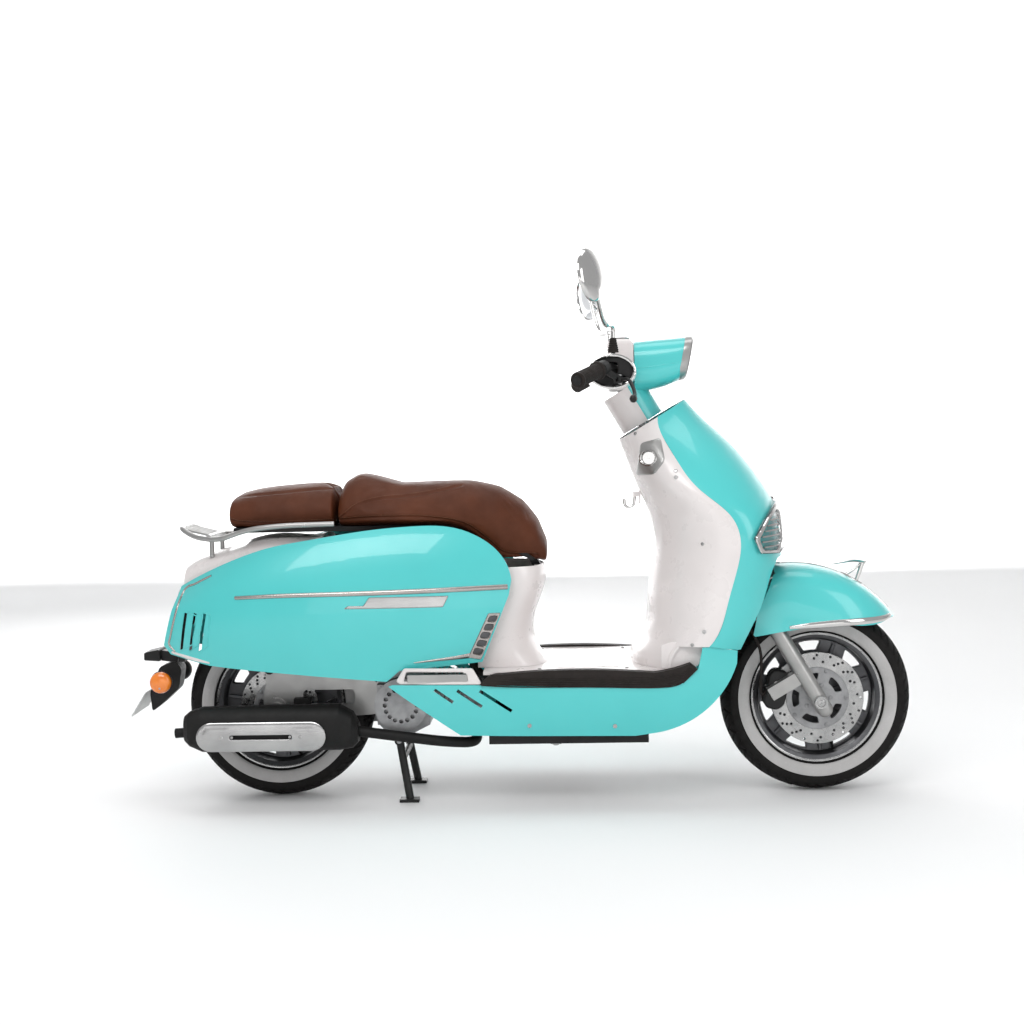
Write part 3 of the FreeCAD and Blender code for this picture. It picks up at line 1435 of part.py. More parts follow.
def swing_arm():
    """The right-hand arm, with the axle that the wheel turns on."""
    plate = side_prism([
        [rear(-640, 262), rear(-600, 330), rear(-560, 324)],
        [rear(-560, 324), rear(-380, 308)],
        [rear(-380, 308), rear(-352, 296)],
        [rear(-352, 296), rear(-352, 218)],
        [rear(-352, 218), rear(-420, 214), rear(-560, 214), rear(-620, 206), rear(-640, 262)],
    ], ARM_IN - 14, ARM_IN)
    window = block(rear(-540, 244, ARM_IN - 30), rear(-410, 280, ARM_IN + 10))
    window = window.makeFillet(10, [edge for edge in window.Edges if edge.BoundBox.YLength > 20])
    pad_block = block(rear(-352 + CLEAR - 40, 222, ARM_IN - 14), rear(-352 - CLEAR, 292, ARM_IN + 2))
    arm = fused([plate, pad_block]).cut(window)
    eye = across(REAR_AXLE, ARM_IN - 22, ARM_IN, 24)
    spacer = across(REAR_AXLE, ARM_IN, DISC_Y - val("disc_thick") / 2 - CLEAR, 14)
    axle = across(REAR_AXLE, ARM_IN - 30, CVT_IN + 30, val("axle_radius"))
    nut = across(REAR_AXLE, ARM_IN - 32, ARM_IN - 22, 15)
    return fused([arm, eye, spacer, axle, nut])


arm_shape = swing_arm()
cvt_shape = cvt_cover()
SHOCK_Y = val("shock_y")
arm_lug = block(SHOCK_LOW + Vector(-16, ARM_IN - 14, -60), SHOCK_LOW + Vector(16, ARM_IN - 2, 12))
arm_pin = across(SHOCK_LOW, -SHOCK_Y - LUG_HALF - 2, ARM_IN - 8, SHOCK_BOLT)
cvt_lug = block(SHOCK_LOW + Vector(-16, CVT_IN + 2, -45), SHOCK_LOW + Vector(16, CVT_IN + 14, 12))
cvt_pin = across(SHOCK_LOW, CVT_IN + 4, SHOCK_Y + LUG_HALF + 2, SHOCK_BOLT)
engine_shape = engine()
add("engine", engine_shape)
add("cvt_cover", fused([cvt_shape, cvt_lug, cvt_pin]))
add("swing_arm", fused([arm_shape, arm_lug, arm_pin]))

rear_clamp = caliper(REAR_AXLE, 27, DISC_Y, val("rear_disc_radius"), 60, 30)
add("rear_caliper", rear_clamp.cut(arm_shape))

# exhaust
MUFFLER_Y = -168
# x, growth of the half depth, low and high edges
MUFFLER_STATIONS = (
    (-818, -14, 172, 236), (-806, -4, 160, 246), (-775, 0, 146, 256), (-600, 0, 146, 259),
    (-436, 0, 147, 258), (-404, -3, 152, 240), (-390, -14, 166, 214),
)


def muffler():
    half = val("muffler_half")
    sections = []
    for x, grow, low, high in MUFFLER_STATIONS:
        ring = []
        for index in range(16):
            angle = math.radians(22.5 * index)
            y = MUFFLER_Y + (half + grow) * squared(math.cos(angle), 0.75)
            z = (low + high) / 2 + (high - low) / 2 * squared(math.sin(angle), 0.75)
            ring.append(rear(x, z, y))
        sections.append(closed_spline(ring))
    can = Part.makeLoft(sections, True, True)
    tail = rod(rear(-812, 192, MUFFLER_Y + 8), rear(-846, 190, MUFFLER_Y + 8), 12)
    bore = rod(rear(-820, 192, MUFFLER_Y + 8), rear(-850, 190, MUFFLER_Y + 8), 9.5)
    pipe = tube([rear(-128, 226, -8), rear(-126, 186, -22), rear(-104, 160, -70), rear(-108, 152, -132),
                 rear(-180, 160, -156), rear(-300, 176, -158), rear(-396, 190, -160)], val("pipe_radius"))
    mount = block(rear(-560, 214, ARM_IN - 42), rear(-520, 262, ARM_IN - 14 - CLEAR))
    shape = fused([can, tail, pipe, mount]).cut(bore)
    return shape.cut(rod(rear(-216, CYL_Z), rear(-90, CYL_Z), 56 + CLEAR))


muffler_shape = muffler()
add("muffler", muffler_shape)


def stadium(x_low, x_high, z_low, z_high, y_low, y_high):
    """An upright plate with half-round ends."""
    radius = (z_high - z_low) / 2
    middle = (z_low + z_high) / 2
    first = across(rear(x_low + radius, middle), y_low, y_high, radius)
    second = across(rear(x_high - radius, middle), y_low, y_high, radius)
    middle_part = block(rear(x_low + radius, z_low, y_low), rear(x_high - radius, z_high, y_high))
    return fused([first, second, middle_part])


SHIELD_Y = MUFFLER_Y - val("muffler_half")
shield_plate = stadium(-782, -465, 153, 224, SHIELD_Y - 4, SHIELD_Y - CLEAR)
groove = stadium(-744, -520, 178, 198, SHIELD_Y - 6, SHIELD_Y - 2.4)
heads = [bolt(rear(x, 188, SHIELD_Y - 4), Vector(0, -1, 0), 7, 4) for x in (-764, -484)]
add("muffler_shield", fused([shield_plate.cut(groove)] + heads))


# ---------------------------------------------------------------- shocks
def shocks():
    lowers = []
    uppers = []
    springs = []
    along = (SHOCK_HIGH - SHOCK_LOW)
    length = along.Length
    along.normalize()
    for side in SIDES:
        low = SHOCK_LOW + Vector(0, side * SHOCK_Y, 0)
        high = SHOCK_HIGH + Vector(0, side * SHOCK_Y, 0)
        eye = across(low, low.y - LUG_HALF, low.y + LUG_HALF, 13)
        body = rod(low + along * 8, low + along * 118, 15)
        seat = rod(low + along * 40, low + along * 45, val("spring_radius") + 1)
        lower = fused([eye, body, seat]).cut(rod(low + along * 60, low + along * 125, 7.6))
        lowers.append(lower.cut(across(low, low.y - 20, low.y + 20, SHOCK_BOLT + 1.5)))
        top_eye = across(high, high.y - LUG_HALF, high.y + LUG_HALF, 13)
        shaft = rod(low + along * 96, high, 7.5)
        cap = rod(high - along * 38, high - along * 17, val("spring_radius") + 1)
        upper = fused([top_eye, shaft, cap])
        uppers.append(upper.cut(across(high, high.y - 20, high.y + 20, SHOCK_BOLT + val("run_clear"))))
        spring_low = low + along * (45 + CLEAR)
        spring_high = high - along * (38 + CLEAR)
        radius = val("spring_radius")
        spring = rod(spring_low, spring_high, radius)
        springs.append(spring.cut(rod(spring_low, spring_high, radius - val("spring_wire"))))
    return lowers, uppers, springs


lowers, uppers, springs = shocks()
add("shock_lower", together(lowers))
add("shock_upper", together(uppers))
add("shock_spring", together(springs))


# ---------------------------------------------------------------- stands and pegs
def center_stand():
    stand_y = val("stand_y")
    radius = val("stand_tube")
    parts = []
    for side in SIDES:
        top = Vector(STAND_PIN.x, side * stand_y, STAND_PIN.z)
        foot = Vector(STAND_PIN.x + 26, side * (stand_y + 22), 2)
        parts.append(rod(top, foot, radius))
        shoe = block(Vector(foot.x - 26, foot.y - 15, 0), Vector(foot.x + 22, foot.y + 15, 8))
        parts.append(shoe)
    cross = Vector(STAND_PIN.x + 8, 0, STAND_PIN.z - 46)
    parts.append(across(cross, -stand_y - 6, stand_y + 6, 8))
    sleeve = across(STAND_PIN, -stand_y - 12, stand_y + 12, 12)
    middle = across(STAND_PIN, -26, 26, 13)
    frame = fused(parts + [sleeve]).cut(middle)
    cut_low = block(Vector(STAND_PIN.x - 200, -300, -60), Vector(STAND_PIN.x + 200, 300, 0))
    return frame.cut(across(STAND_PIN, -200, 200, STAND_PIN_RADIUS + val("run_clear"))).cut(cut_low)


stand_shape = center_stand()
add("center_stand", stand_shape)

SIDE_PIN = rear(88, 104, 128)


def side_stand():
    boss = rod(SIDE_PIN - Vector(0, 7, 0), SIDE_PIN + Vector(0, 7, 0), 15)
    foot = SIDE_PIN + Vector(-118, 0, 4)
    leg = rod(SIDE_PIN + Vector(-10, 0, 0), foot, 6)
    shoe = block(foot + Vector(-22, -10, -8), foot + Vector(14, 14, -3))
    shape = fused([boss, leg, shoe])
    return shape.cut(rod(SIDE_PIN - Vector(0, 40, 0), SIDE_PIN + Vector(0, 40, 0), 6 + val("run_clear")))


add("side_stand", side_stand())

PEG_PIN = (-120, 326)
PEG_OUT = val("skirt_half") - 12


def peg(side):
    """A passenger peg, folded back along the skirt."""
    pin_at = rear(PEG_PIN[0], PEG_PIN[1], side * PEG_OUT)
    tip = rear(-264, 328, side * (PEG_OUT + 2))
    bar = block(Vector(tip.x, pin_at.y - 8, pin_at.z - 9), Vector(pin_at.x, pin_at.y + 8, pin_at.z + 9))
    knuckle = rod(pin_at - Vector(0, 0, 9), pin_at + Vector(0, 0, 9), 8)
    bar = bar.makeFillet(4, [edge for edge in bar.Edges if abs(edge.BoundBox.XMax - tip.x) < 0.1])
    shape = fused([bar, knuckle])
    return shape.cut(rod(pin_at - Vector(0, 0, 20), pin_at + Vector(0, 0, 20), 4 + val("run_clear")))


for side in SIDES:
    add("peg_" + SIDE_NAMES[side], peg(side))


# ---------------------------------------------------------------- frame
RAIL_PATH = ((-20, 290, 96), (-104, 320, 98), (-150, 520, 104), (-250, 568, 104),
             (-690, 592, 104), (-790, 556, 66), (-850, 440, 32))
RAIL_Y = val("rail_y")
RAIL = val("rail_tube")


def rail_point(index, side):
    x, z, y = RAIL_PATH[index]
    return rear(x, z, side * (y - 104 + RAIL_Y))


def boss(shape, start, direction, radius=5):
    """A mounting boss that ends just short of the panel that it carries."""
    return rod(start, start + direction * (reach(shape, start, direction) - CLEAR), radius)


def frame():
    low = forked(AXIS_U, HEAD_LOW)
    high = forked(AXIS_U, HEAD_HIGH)
    tube_radius = val("frame_tube")
    head = hollow_rod(low, high, val("head_radius"), val("head_bore"))
    race = val("stem_radius") + val("run_clear")
    races = [hollow_rod(low, low + FORK_W * 14, val("head_bore") + 1, race),
             hollow_rod(high - FORK_W * 14, high, val("head_bore") + 1, race)]
    spine_path = [forked(AXIS_U - 30, 660), front(392, 580), front(384, 420), front(300, 290), rear(-20, 290)]
    head_hollow = rod(forked(AXIS_U, HEAD_LOW - 20), forked(AXIS_U, HEAD_HIGH + 20), val("head_bore") + 2)
    spine = tube(spine_path, tube_radius, 70).cut(head_hollow)
    parts = [head, spine] + races
    parts.append(across(rear(-20, 290), -96, 96, tube_radius))
    for side in SIDES:
        path = [rail_point(index, side) for index in range(len(RAIL_PATH))]
        parts.append(tube(path, RAIL, 45))
        y = sorted((side * (34 + CLEAR), side * 44))
        ear = [[rear(-116, 414), rear(-250, 358)], [rear(-250, 358), rear(-250, 330)],
               [rear(-250, 330), rear(-222, 330)], [rear(-222, 330), rear(-116, 386)],
               [rear(-116, 386), rear(-116, 414)]]
        parts.append(side_prism(ear, y[0], y[1]))
        parts.append(boss(side_panels[side], rear(-300, 570, side * RAIL_Y), Vector(0, side, 0), 7))
        parts.append(boss(side_panels[side], rear(-690, 560, side * (RAIL_Y - 4)), Vector(0, side, 0), 6))
        parts.append(rod(rear(-690, 590, side * (RAIL_Y - 4)), rear(-690, 556, side * (RAIL_Y - 4)), 6))
        peg_y = sorted((side * (RAIL_Y - 6), side * (PEG_OUT + 2)))
        parts.append(block(rear(-130, 311, peg_y[0]), rear(-104, 317 - CLEAR, peg_y[1])))
        pin = rear(PEG_PIN[0], 312, side * PEG_OUT)
        parts.append(rod(pin, pin + Vector(0, 0, 24), 4))
        for y_near in (SHOCK_Y - LUG_HALF - CLEAR - 5, SHOCK_Y + LUG_HALF + CLEAR):
            lug_y = sorted((side * y_near, side * (y_near + 5)))
            parts.append(block(rear(-572, 553, lug_y[0]), rear(-548, 592, lug_y[1])))
        pin_y = sorted((side * (SHOCK_Y - LUG_HALF - 5), side * (SHOCK_Y + LUG_HALF + 5)))
        parts.append(across(SHOCK_HIGH, pin_y[0], pin_y[1], SHOCK_BOLT))
        parts.append(boss(tail_top, rear(-640, 588, side * (RAIL_Y - 22)), Vector(0, 0, 1), 5))
        low_y = sorted((side * (RAIL_Y - 22), side * RAIL_Y))
        parts.append(block(rear(-648, 582, low_y[0]), rear(-632, 594, low_y[1])))
    parts.append(across(rear(-124, 400), -100, 100, 12))
    parts.append(across(SWING_PIN, -44, 44, SWING_PIN_RADIUS))
    parts.append(block(rear(-862, 350, -44), rear(-846, 446, 44)))
    parts.append(block(rear(-884 + CLEAR, 352, -14), rear(-850, 374, 14)))
    parts.append(boss(tail_back, rear(-852, 424, 0), Vector(-1, 0, 0), 8))
    for bar_low, place in ((20, rear), (262, front)):
        parts.append(block(place(bar_low, 298, -190), place(bar_low + 24, 330 - CLEAR, 190)))
        parts.append(rod(place(bar_low + 10, 298), place(bar_low + 10, 160 + CLEAR), 10))
    parts.append(boss(shield_shell, forked(AXIS_U + 25, 700), AHEAD, 8))
    parts.append(boss(knee_shell, forked(AXIS_U - 25, 720), AHEAD * -1, 8))
    shape = fused(parts)
    for panel in (shield_shell, knee_shell, tail_top, tail_back, side_panels[-1], side_panels[1]):
        shape = shape.cut(panel)
    return largest(shape)


add("frame", frame())


def long_edges(shape, extent):
    """A box's edges along one direction, named by its extent in a bound box."""
    return [edge for edge in shape.Edges if getattr(edge.BoundBox, extent) > 100]


inner_half = RAIL_Y - RAIL - CLEAR
bucket_outer = block(rear(-392, 440, -inner_half), rear(-160, 668, inner_half))
bucket_outer = bucket_outer.makeFillet(26, long_edges(bucket_outer, "ZLength"))
bucket_inner = block(rear(-388, 444, -inner_half + 4), rear(-164, 700, inner_half - 4))
bucket_inner = bucket_inner.makeFillet(22, long_edges(bucket_inner, "ZLength"))
add("seat_bucket", bucket_outer.cut(bucket_inner))

tank = block(rear(-532, 526, -inner_half), rear(-402, 622, inner_half))
tank = tank.makeFillet(18, long_edges(tank, "XLength"))
tank_half = SHOCK_Y - val("spring_radius") - 8
tank_back = block(rear(-640, 536, -tank_half), rear(-520, 618, tank_half))
tank_back = tank_back.makeFillet(14, long_edges(tank_back, "XLength"))
neck = rod(rear(-440, 615), rear(-440, 640), 20)
add("fuel_tank", fused([tank, tank_back, neck]))
cap_low = rear(-440, 640 + CLEAR)
cap = rod(cap_low, cap_low + Vector(0, 0, 14), 26)
cap_grip = block(cap_low + Vector(-20, -4, 13), cap_low + Vector(20, 4, 24))
add("fuel_cap", fused([cap, cap_grip]))

rack_feet = []
for side in SIDES:
    low = rear(-764, 669, side * 60)
    rack_feet.append(rod(low, low - Vector(0, 0, reach(tail_top, low, Vector(0, 0, -1)) - CLEAR), 6))
add("grab_rail", largest(fused([rack] + rack_feet).cut(tail_top)))

lug_y = SIDE_PIN.y + 7 + CLEAR
stand_lug = block(Vector(SIDE_PIN.x - 14, lug_y, SIDE_PIN.z - 14), rear(102, 157 - CLEAR, lug_y + 9))
stand_pin = rod(SIDE_PIN - Vector(0, 7, 0), SIDE_PIN + Vector(0, 9, 0), 6)
belly = fused([tray.cut(hollow), rim_low.cut(rim_hole)])
add("belly_pan", together([belly, fused([stand_lug, stand_pin])]))

SCREWS = ((30, 208, "skirt"), (236, 204, "skirt"), (392, 800, "knee"), (452, 430, "knee"))
screw_heads = []
skirts = {side: skirt(side) for side in SIDES}
for side in SIDES:
    for x, z, where in SCREWS:
        panel = skirts[side] if where == "skirt" else knee_shell
        start = front(x, z, side * 300)
        depth = reach(panel, start, Vector(0, -side, 0))
        face = start - Vector(0, side * depth, 0)
        stud = rod(face + Vector(0, side * 2.2, 0), face - Vector(0, side * 1.5, 0), 5).cut(panel)
        screw_heads.append(max(stud.Solids, key=lambda solid: abs(solid.CenterOfMass.y)))
add("panel_screws", together(screw_heads))


# ---------------------------------------------------------------- checks and files
doc.recompute()
for item in doc.Objects:
    if "Invalid" in item.State or "Error" in item.State:
        raise RuntimeError(f"{item.Label} failed: {item.State}")
for item in nodes:
    if item.Shape.isNull() or not item.Shape.isValid():
        raise RuntimeError(f"{item.Label} has no sound shape")
os.makedirs("parts", exist_ok=True)
for item in nodes:
    item.Shape.exportStep(f"parts/{item.Label}.step")
print(f"{len(nodes)} nodes written")
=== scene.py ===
import math

import bmesh
import bpy
import numpy as np
from mathutils import Matrix, Vector
from mathutils.bvhtree import BVHTree
from mathutils.geometry import delaunay_2d_cdt


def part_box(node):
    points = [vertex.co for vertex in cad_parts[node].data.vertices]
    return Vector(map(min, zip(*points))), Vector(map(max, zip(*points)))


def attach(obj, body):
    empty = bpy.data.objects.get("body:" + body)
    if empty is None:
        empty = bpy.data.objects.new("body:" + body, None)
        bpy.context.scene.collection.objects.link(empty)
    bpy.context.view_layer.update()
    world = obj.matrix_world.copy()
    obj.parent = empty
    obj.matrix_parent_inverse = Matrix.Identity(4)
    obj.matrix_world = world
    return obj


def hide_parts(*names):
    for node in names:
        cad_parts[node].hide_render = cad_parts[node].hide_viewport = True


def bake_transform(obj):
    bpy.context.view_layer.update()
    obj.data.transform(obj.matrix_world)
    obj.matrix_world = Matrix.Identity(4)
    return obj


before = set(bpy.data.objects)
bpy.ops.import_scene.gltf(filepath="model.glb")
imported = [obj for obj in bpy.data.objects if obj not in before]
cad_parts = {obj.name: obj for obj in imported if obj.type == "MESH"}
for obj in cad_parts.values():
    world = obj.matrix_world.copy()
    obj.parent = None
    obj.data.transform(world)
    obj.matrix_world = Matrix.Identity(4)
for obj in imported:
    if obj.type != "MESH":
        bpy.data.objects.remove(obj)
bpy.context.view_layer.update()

# A retro step-through scooter around its CAD frame. Points are written in
# millimetres in the row frame and become metres when a mesh is made.
MM = 0.001
SIDES = (-1, 1)
SIDE_NAMES = {-1: "right", 1: "left"}
FRONT_AXLE = Vector((744, 0, 237))
REAR_AXLE = Vector((-606, 0, 237))
RAKE = math.radians(30.4)
FORK_U = Vector((math.cos(RAKE), 0, math.sin(RAKE)))
FORK_W = Vector((-math.sin(RAKE), 0, math.cos(RAKE)))


def forked(u, w, y=0.0):
    """A point in the fork's own frame: u ahead of the legs, w up them from the axle."""
    return FRONT_AXLE + FORK_U * u + FORK_W * w + Vector((0, y, 0))


# ---------------------------------------------------------------- materials
def node_tree(name):
    made = bpy.data.materials.new(name)
    made.use_nodes = True
    tree = made.node_tree
    return made, tree, tree.nodes["Principled BSDF"]


def noise(tree, coords, scale, detail=3.0, rough=0.55, stretch=None):
    source = coords
    if stretch:
        mapping = tree.nodes.new("ShaderNodeMapping")
        mapping.inputs["Scale"].default_value = stretch
        tree.links.new(coords, mapping.inputs["Vector"])
        source = mapping.outputs["Vector"]
    made = tree.nodes.new("ShaderNodeTexNoise")
    made.inputs["Scale"].default_value = scale
    made.inputs["Detail"].default_value = detail
    made.inputs["Roughness"].default_value = rough
    tree.links.new(source, made.inputs["Vector"])
    return made.outputs["Fac"]


def ranged(tree, value, low, high, start=0.3, end=0.7):
    made = tree.nodes.new("ShaderNodeMapRange")
    for key, number in (("From Min", start), ("From Max", end), ("To Min", low), ("To Max", high)):
        made.inputs[key].default_value = number
    tree.links.new(value, made.inputs["Value"])
    return made.outputs["Result"]


def mixed(tree, factor, first, second):
    """Two colours, or colour outputs, mixed by a factor output."""
    made = tree.nodes.new("ShaderNodeMix")
    made.data_type = "RGBA"
    tree.links.new(factor, made.inputs["Factor"])
    for key, value in (("A", first), ("B", second)):
        socket = [s for s in made.inputs if s.name == key and s.type == "RGBA"][0]
        if isinstance(value, tuple):
            socket.default_value = (*value, 1)
        else:
            tree.links.new(value, socket)
    return [s for s in made.outputs if s.type == "RGBA"][0]


def bumped(tree, height, distance, strength=1.0, normal=None):
    made = tree.nodes.new("ShaderNodeBump")
    made.inputs["Distance"].default_value = distance
    made.inputs["Strength"].default_value = strength
    tree.links.new(height, made.inputs["Height"])
    if normal is not None:
        tree.links.new(normal, made.inputs["Normal"])
    return made.outputs["Normal"]


def surface_finish(name, colour, dark, rough, spread=0.08, metal=0.0, coat=0.0, coat_rough=0.03,
                   patch=6.0, grain=600.0, bump=0.00002, brushed=None, speckle=0.0, specular=0.5,
                   weave=None):
    """A material with patchy colour, uneven roughness and a fine surface relief."""
    made, tree, shader = node_tree(name)
    coords = tree.nodes.new("ShaderNodeTexCoord").outputs["Object"]
    broad = noise(tree, coords, patch, 4.0)
    colour_out = mixed(tree, ranged(tree, broad, 0.0, 1.0, 0.32, 0.68), colour, dark)
    if speckle:
        fine = noise(tree, coords, 260.0, 2.0)
        dusty = tuple(min(1.0, c * 1.5 + 0.03) for c in colour)
        colour_out = mixed(tree, ranged(tree, fine, 0.0, speckle, 0.55, 0.75), colour_out, dusty)
    tree.links.new(colour_out, shader.inputs["Base Color"])
    smear = noise(tree, coords, patch * 4, 5.0, 0.6, brushed)
    tree.links.new(ranged(tree, smear, rough - spread, rough + spread), shader.inputs["Roughness"])
    relief = noise(tree, coords, grain, 2.0, 0.5, brushed)
    normal = bumped(tree, relief, bump)
    if weave:
        cells = tree.nodes.new("ShaderNodeTexVoronoi")
        cells.feature = "DISTANCE_TO_EDGE"
        cells.inputs["Scale"].default_value = weave[0]
        tree.links.new(coords, cells.inputs["Vector"])
        height = ranged(tree, cells.outputs["Distance"], 0.0, 1.0, 0.0, 0.35)
        normal = bumped(tree, height, weave[1], 1.0, normal)
    tree.links.new(normal, shader.inputs["Normal"])
    shader.inputs["Metallic"].default_value = metal
    shader.inputs["Coat Weight"].default_value = coat
    shader.inputs["Coat Roughness"].default_value = coat_rough
    shader.inputs["Specular IOR Level"].default_value = specular
    return made


def glass_finish(name, colour, rough, ripple_scale, ripple, transmission=1.0):
    """A clear or tinted lens with a moulded ripple."""
    made, tree, shader = node_tree(name)
    coords = tree.nodes.new("ShaderNodeTexCoord").outputs["Object"]
    ripples = noise(tree, coords, ripple_scale, 1.0, 0.4)
    tree.links.new(bumped(tree, ripples, ripple), shader.inputs["Normal"])
    haze = noise(tree, coords, 30.0)
    tree.links.new(ranged(tree, haze, rough, rough + 0.06), shader.inputs["Roughness"])
    tint = tuple(c * 0.86 for c in colour)
    tree.links.new(mixed(tree, ranged(tree, haze, 0.0, 1.0), colour, tint), shader.inputs["Base Color"])
    shader.inputs["Transmission Weight"].default_value = transmission
    shader.inputs["IOR"].default_value = 1.49
    return made


def finish(name, colour, dark, rough, spread, patch, grain, bump, **more):
    return surface_finish(name, colour, dark, rough, spread, patch=patch, grain=grain, bump=bump, **more)


# name, light and dark colour, roughness and its spread, patch and grain scales, relief in metres
TURQUOISE = finish("turquoise_paint", (0.072, 0.560, 0.555), (0.062, 0.530, 0.525), 0.36, 0.05, 3, 420, 1.2e-5,
                   coat=0.6, coat_rough=0.05)
CREAM = finish("cream_panel", (0.745, 0.700, 0.690), (0.700, 0.655, 0.645), 0.30, 0.07, 5, 900, 1.2e-5,
               coat=0.5, coat_rough=0.10)
LEATHER = finish("brown_leather", (0.098, 0.026, 0.0085), (0.066, 0.017, 0.0055), 0.54, 0.08, 9, 1500, 6e-5,
                 weave=(430.0, 0.00018), specular=0.22)
LEATHER_THREAD = finish("seat_thread", (0.20, 0.085, 0.04), (0.13, 0.05, 0.025), 0.7, 0.08, 60, 3000, 1e-4)
RUBBER_TYRE = finish("tyre_rubber", (0.008, 0.007, 0.0065), (0.0055, 0.005, 0.0048), 0.66, 0.1, 14, 900, 8e-5,
                     speckle=0.12, specular=0.18)
WHITEWALL = finish("white_wall", (0.46, 0.45, 0.445), (0.39, 0.38, 0.375), 0.50, 0.08, 12, 700, 5e-5,
                   speckle=0.15)
RUBBER = finish("dark_rubber", (0.022, 0.017, 0.015), (0.015, 0.012, 0.011), 0.60, 0.1, 18, 1100, 7e-5,
                speckle=0.06, specular=0.2)
BLACK_PLASTIC = finish("black_plastic", (0.016, 0.015, 0.015), (0.010, 0.010, 0.010), 0.46, 0.1, 16, 1300, 7e-5,
                       speckle=0.05, specular=0.25)
BLACK_PAINT = finish("black_enamel", (0.013, 0.013, 0.013), (0.008, 0.008, 0.008), 0.40, 0.1, 11, 800, 5e-5,
                     speckle=0.06, specular=0.3)
HEAT_BLACK = finish("heat_black", (0.005, 0.005, 0.005), (0.009, 0.0085, 0.008), 0.56, 0.08, 22, 1200, 1.2e-4,
                    speckle=0.06, specular=0.25)
DARK_ALLOY = finish("dark_cast_alloy", (0.12, 0.12, 0.125), (0.085, 0.085, 0.09), 0.42, 0.08, 13, 700, 7e-5,
                    metal=0.85)
CAST = finish("sand_cast_alloy", (0.36, 0.36, 0.365), (0.25, 0.25, 0.255), 0.44, 0.09, 17, 500, 2.2e-4,
              metal=0.9)
SILVER = finish("silver_paint", (0.40, 0.395, 0.385), (0.33, 0.325, 0.32), 0.34, 0.07, 8, 1500, 2e-5,
                metal=0.75, coat=0.4, coat_rough=0.12)
STEEL = finish("turned_steel", (0.46, 0.455, 0.45), (0.34, 0.34, 0.34), 0.27, 0.08, 20, 900, 3e-5, metal=1.0)
BRUSHED = finish("brushed_steel", (0.50, 0.495, 0.49), (0.38, 0.375, 0.375), 0.24, 0.08, 9, 700, 4e-5,
                 metal=1.0, brushed=(0.06, 1.0, 1.0))
CHROME = finish("chrome", (0.66, 0.65, 0.64), (0.58, 0.57, 0.56), 0.10, 0.04, 7, 300, 8e-6, metal=1.0)
TRIM = finish("warm_trim", (0.46, 0.43, 0.41), (0.36, 0.335, 0.32), 0.24, 0.06, 6, 800, 2e-5,
              metal=0.9, brushed=(0.1, 1.0, 1.0))
MIRROR_GLASS = finish("mirror_glass", (0.86, 0.87, 0.88), (0.83, 0.84, 0.86), 0.025, 0.01, 4, 60, 2e-6,
                      metal=1.0)
AMBER = finish("amber_lens", (0.86, 0.235, 0.012), (0.74, 0.165, 0.008), 0.20, 0.05, 40, 420, 1.2e-4, coat=1.0)
RED = glass_finish("red_lens", (0.55, 0.012, 0.01), 0.08, 260.0, 0.0005, 0.4)
CLEAR_GLASS = glass_finish("clear_lens", (0.93, 0.95, 0.96), 0.01, 40.0, 0.0001, 1.0)
PLATE_WHITE = finish("plate_blank", (0.55, 0.55, 0.54), (0.47, 0.47, 0.465), 0.4, 0.08, 10, 1500, 4e-5)
DIAL_WHITE = finish("dial_face", (0.70, 0.68, 0.63), (0.66, 0.64, 0.59), 0.5, 0.05, 30, 3000, 2e-5)
USUAL_SLOT = {TURQUOISE: "turquoise", CREAM: "cream", LEATHER_THREAD: "leather", RUBBER: "rubber",
              BLACK_PLASTIC: "black_plastic", BLACK_PAINT: "black_metal", CAST: "cast_alloy", SILVER: "silver",
              STEEL: "steel", CHROME: "chrome", TRIM: "chrome", BRUSHED: "chrome", MIRROR_GLASS: "chrome",
              AMBER: "lens_red", CLEAR_GLASS: "lens_clear", PLATE_WHITE: "silver"}


# ---------------------------------------------------------------- mesh helpers
def linked(name, data):
    """A new object in the scene."""
    made = bpy.data.objects.new(name, data)
    bpy.context.scene.collection.objects.link(made)
    return made


def spots_of(mesh):
    """The mesh's points as an array, in metres."""
    return np.array([v.co for v in mesh.vertices]).reshape(-1, 3)


def finished(name, mesh, material, body, slot, sharp=35.0):
    """A mesh becomes a named piece on its CAD body, shaded smooth up to the sharp angle."""
    work = bmesh.new()
    work.from_mesh(mesh)
    bmesh.ops.remove_doubles(work, verts=work.verts, dist=1e-6)
    bmesh.ops.recalc_face_normals(work, faces=work.faces)
    work.to_mesh(mesh)
    work.free()
    mesh.shade_smooth()
    mesh.set_sharp_from_angle(angle=math.radians(sharp))
    if not mesh.materials:
        for item in material if isinstance(material, (list, tuple)) else [material]:
            mesh.materials.append(item)
    piece = linked(name, mesh)
    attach(piece, body)
    return piece


def mesh_of(name, points, faces):
    """A mesh in metres from points in millimetres."""
    mesh = bpy.data.meshes.new(name)
    mesh.from_pydata([tuple(c * MM for c in point) for point in points], [], faces)
    return mesh


def join_parts(parts):
    """Several (points, faces) lists as one."""
    points, faces = [], []
    for more_points, more_faces in parts:
        start = len(points)
        points.extend(more_points)
        faces.extend([tuple(i + start for i in face) for face in more_faces])
    return points, faces


def pieces_of(parts, name, material, body, slot=None):
    """One piece from several (points, faces) lists; the slot, its finish's usual one unless one is given, is
    passed on but not used.
    """
    return finished(name, mesh_of(name, *join_parts(parts)), material, body, slot or USUAL_SLOT[material])


def piece_of(part, *finish_and_body):
    return pieces_of([part], *finish_and_body)


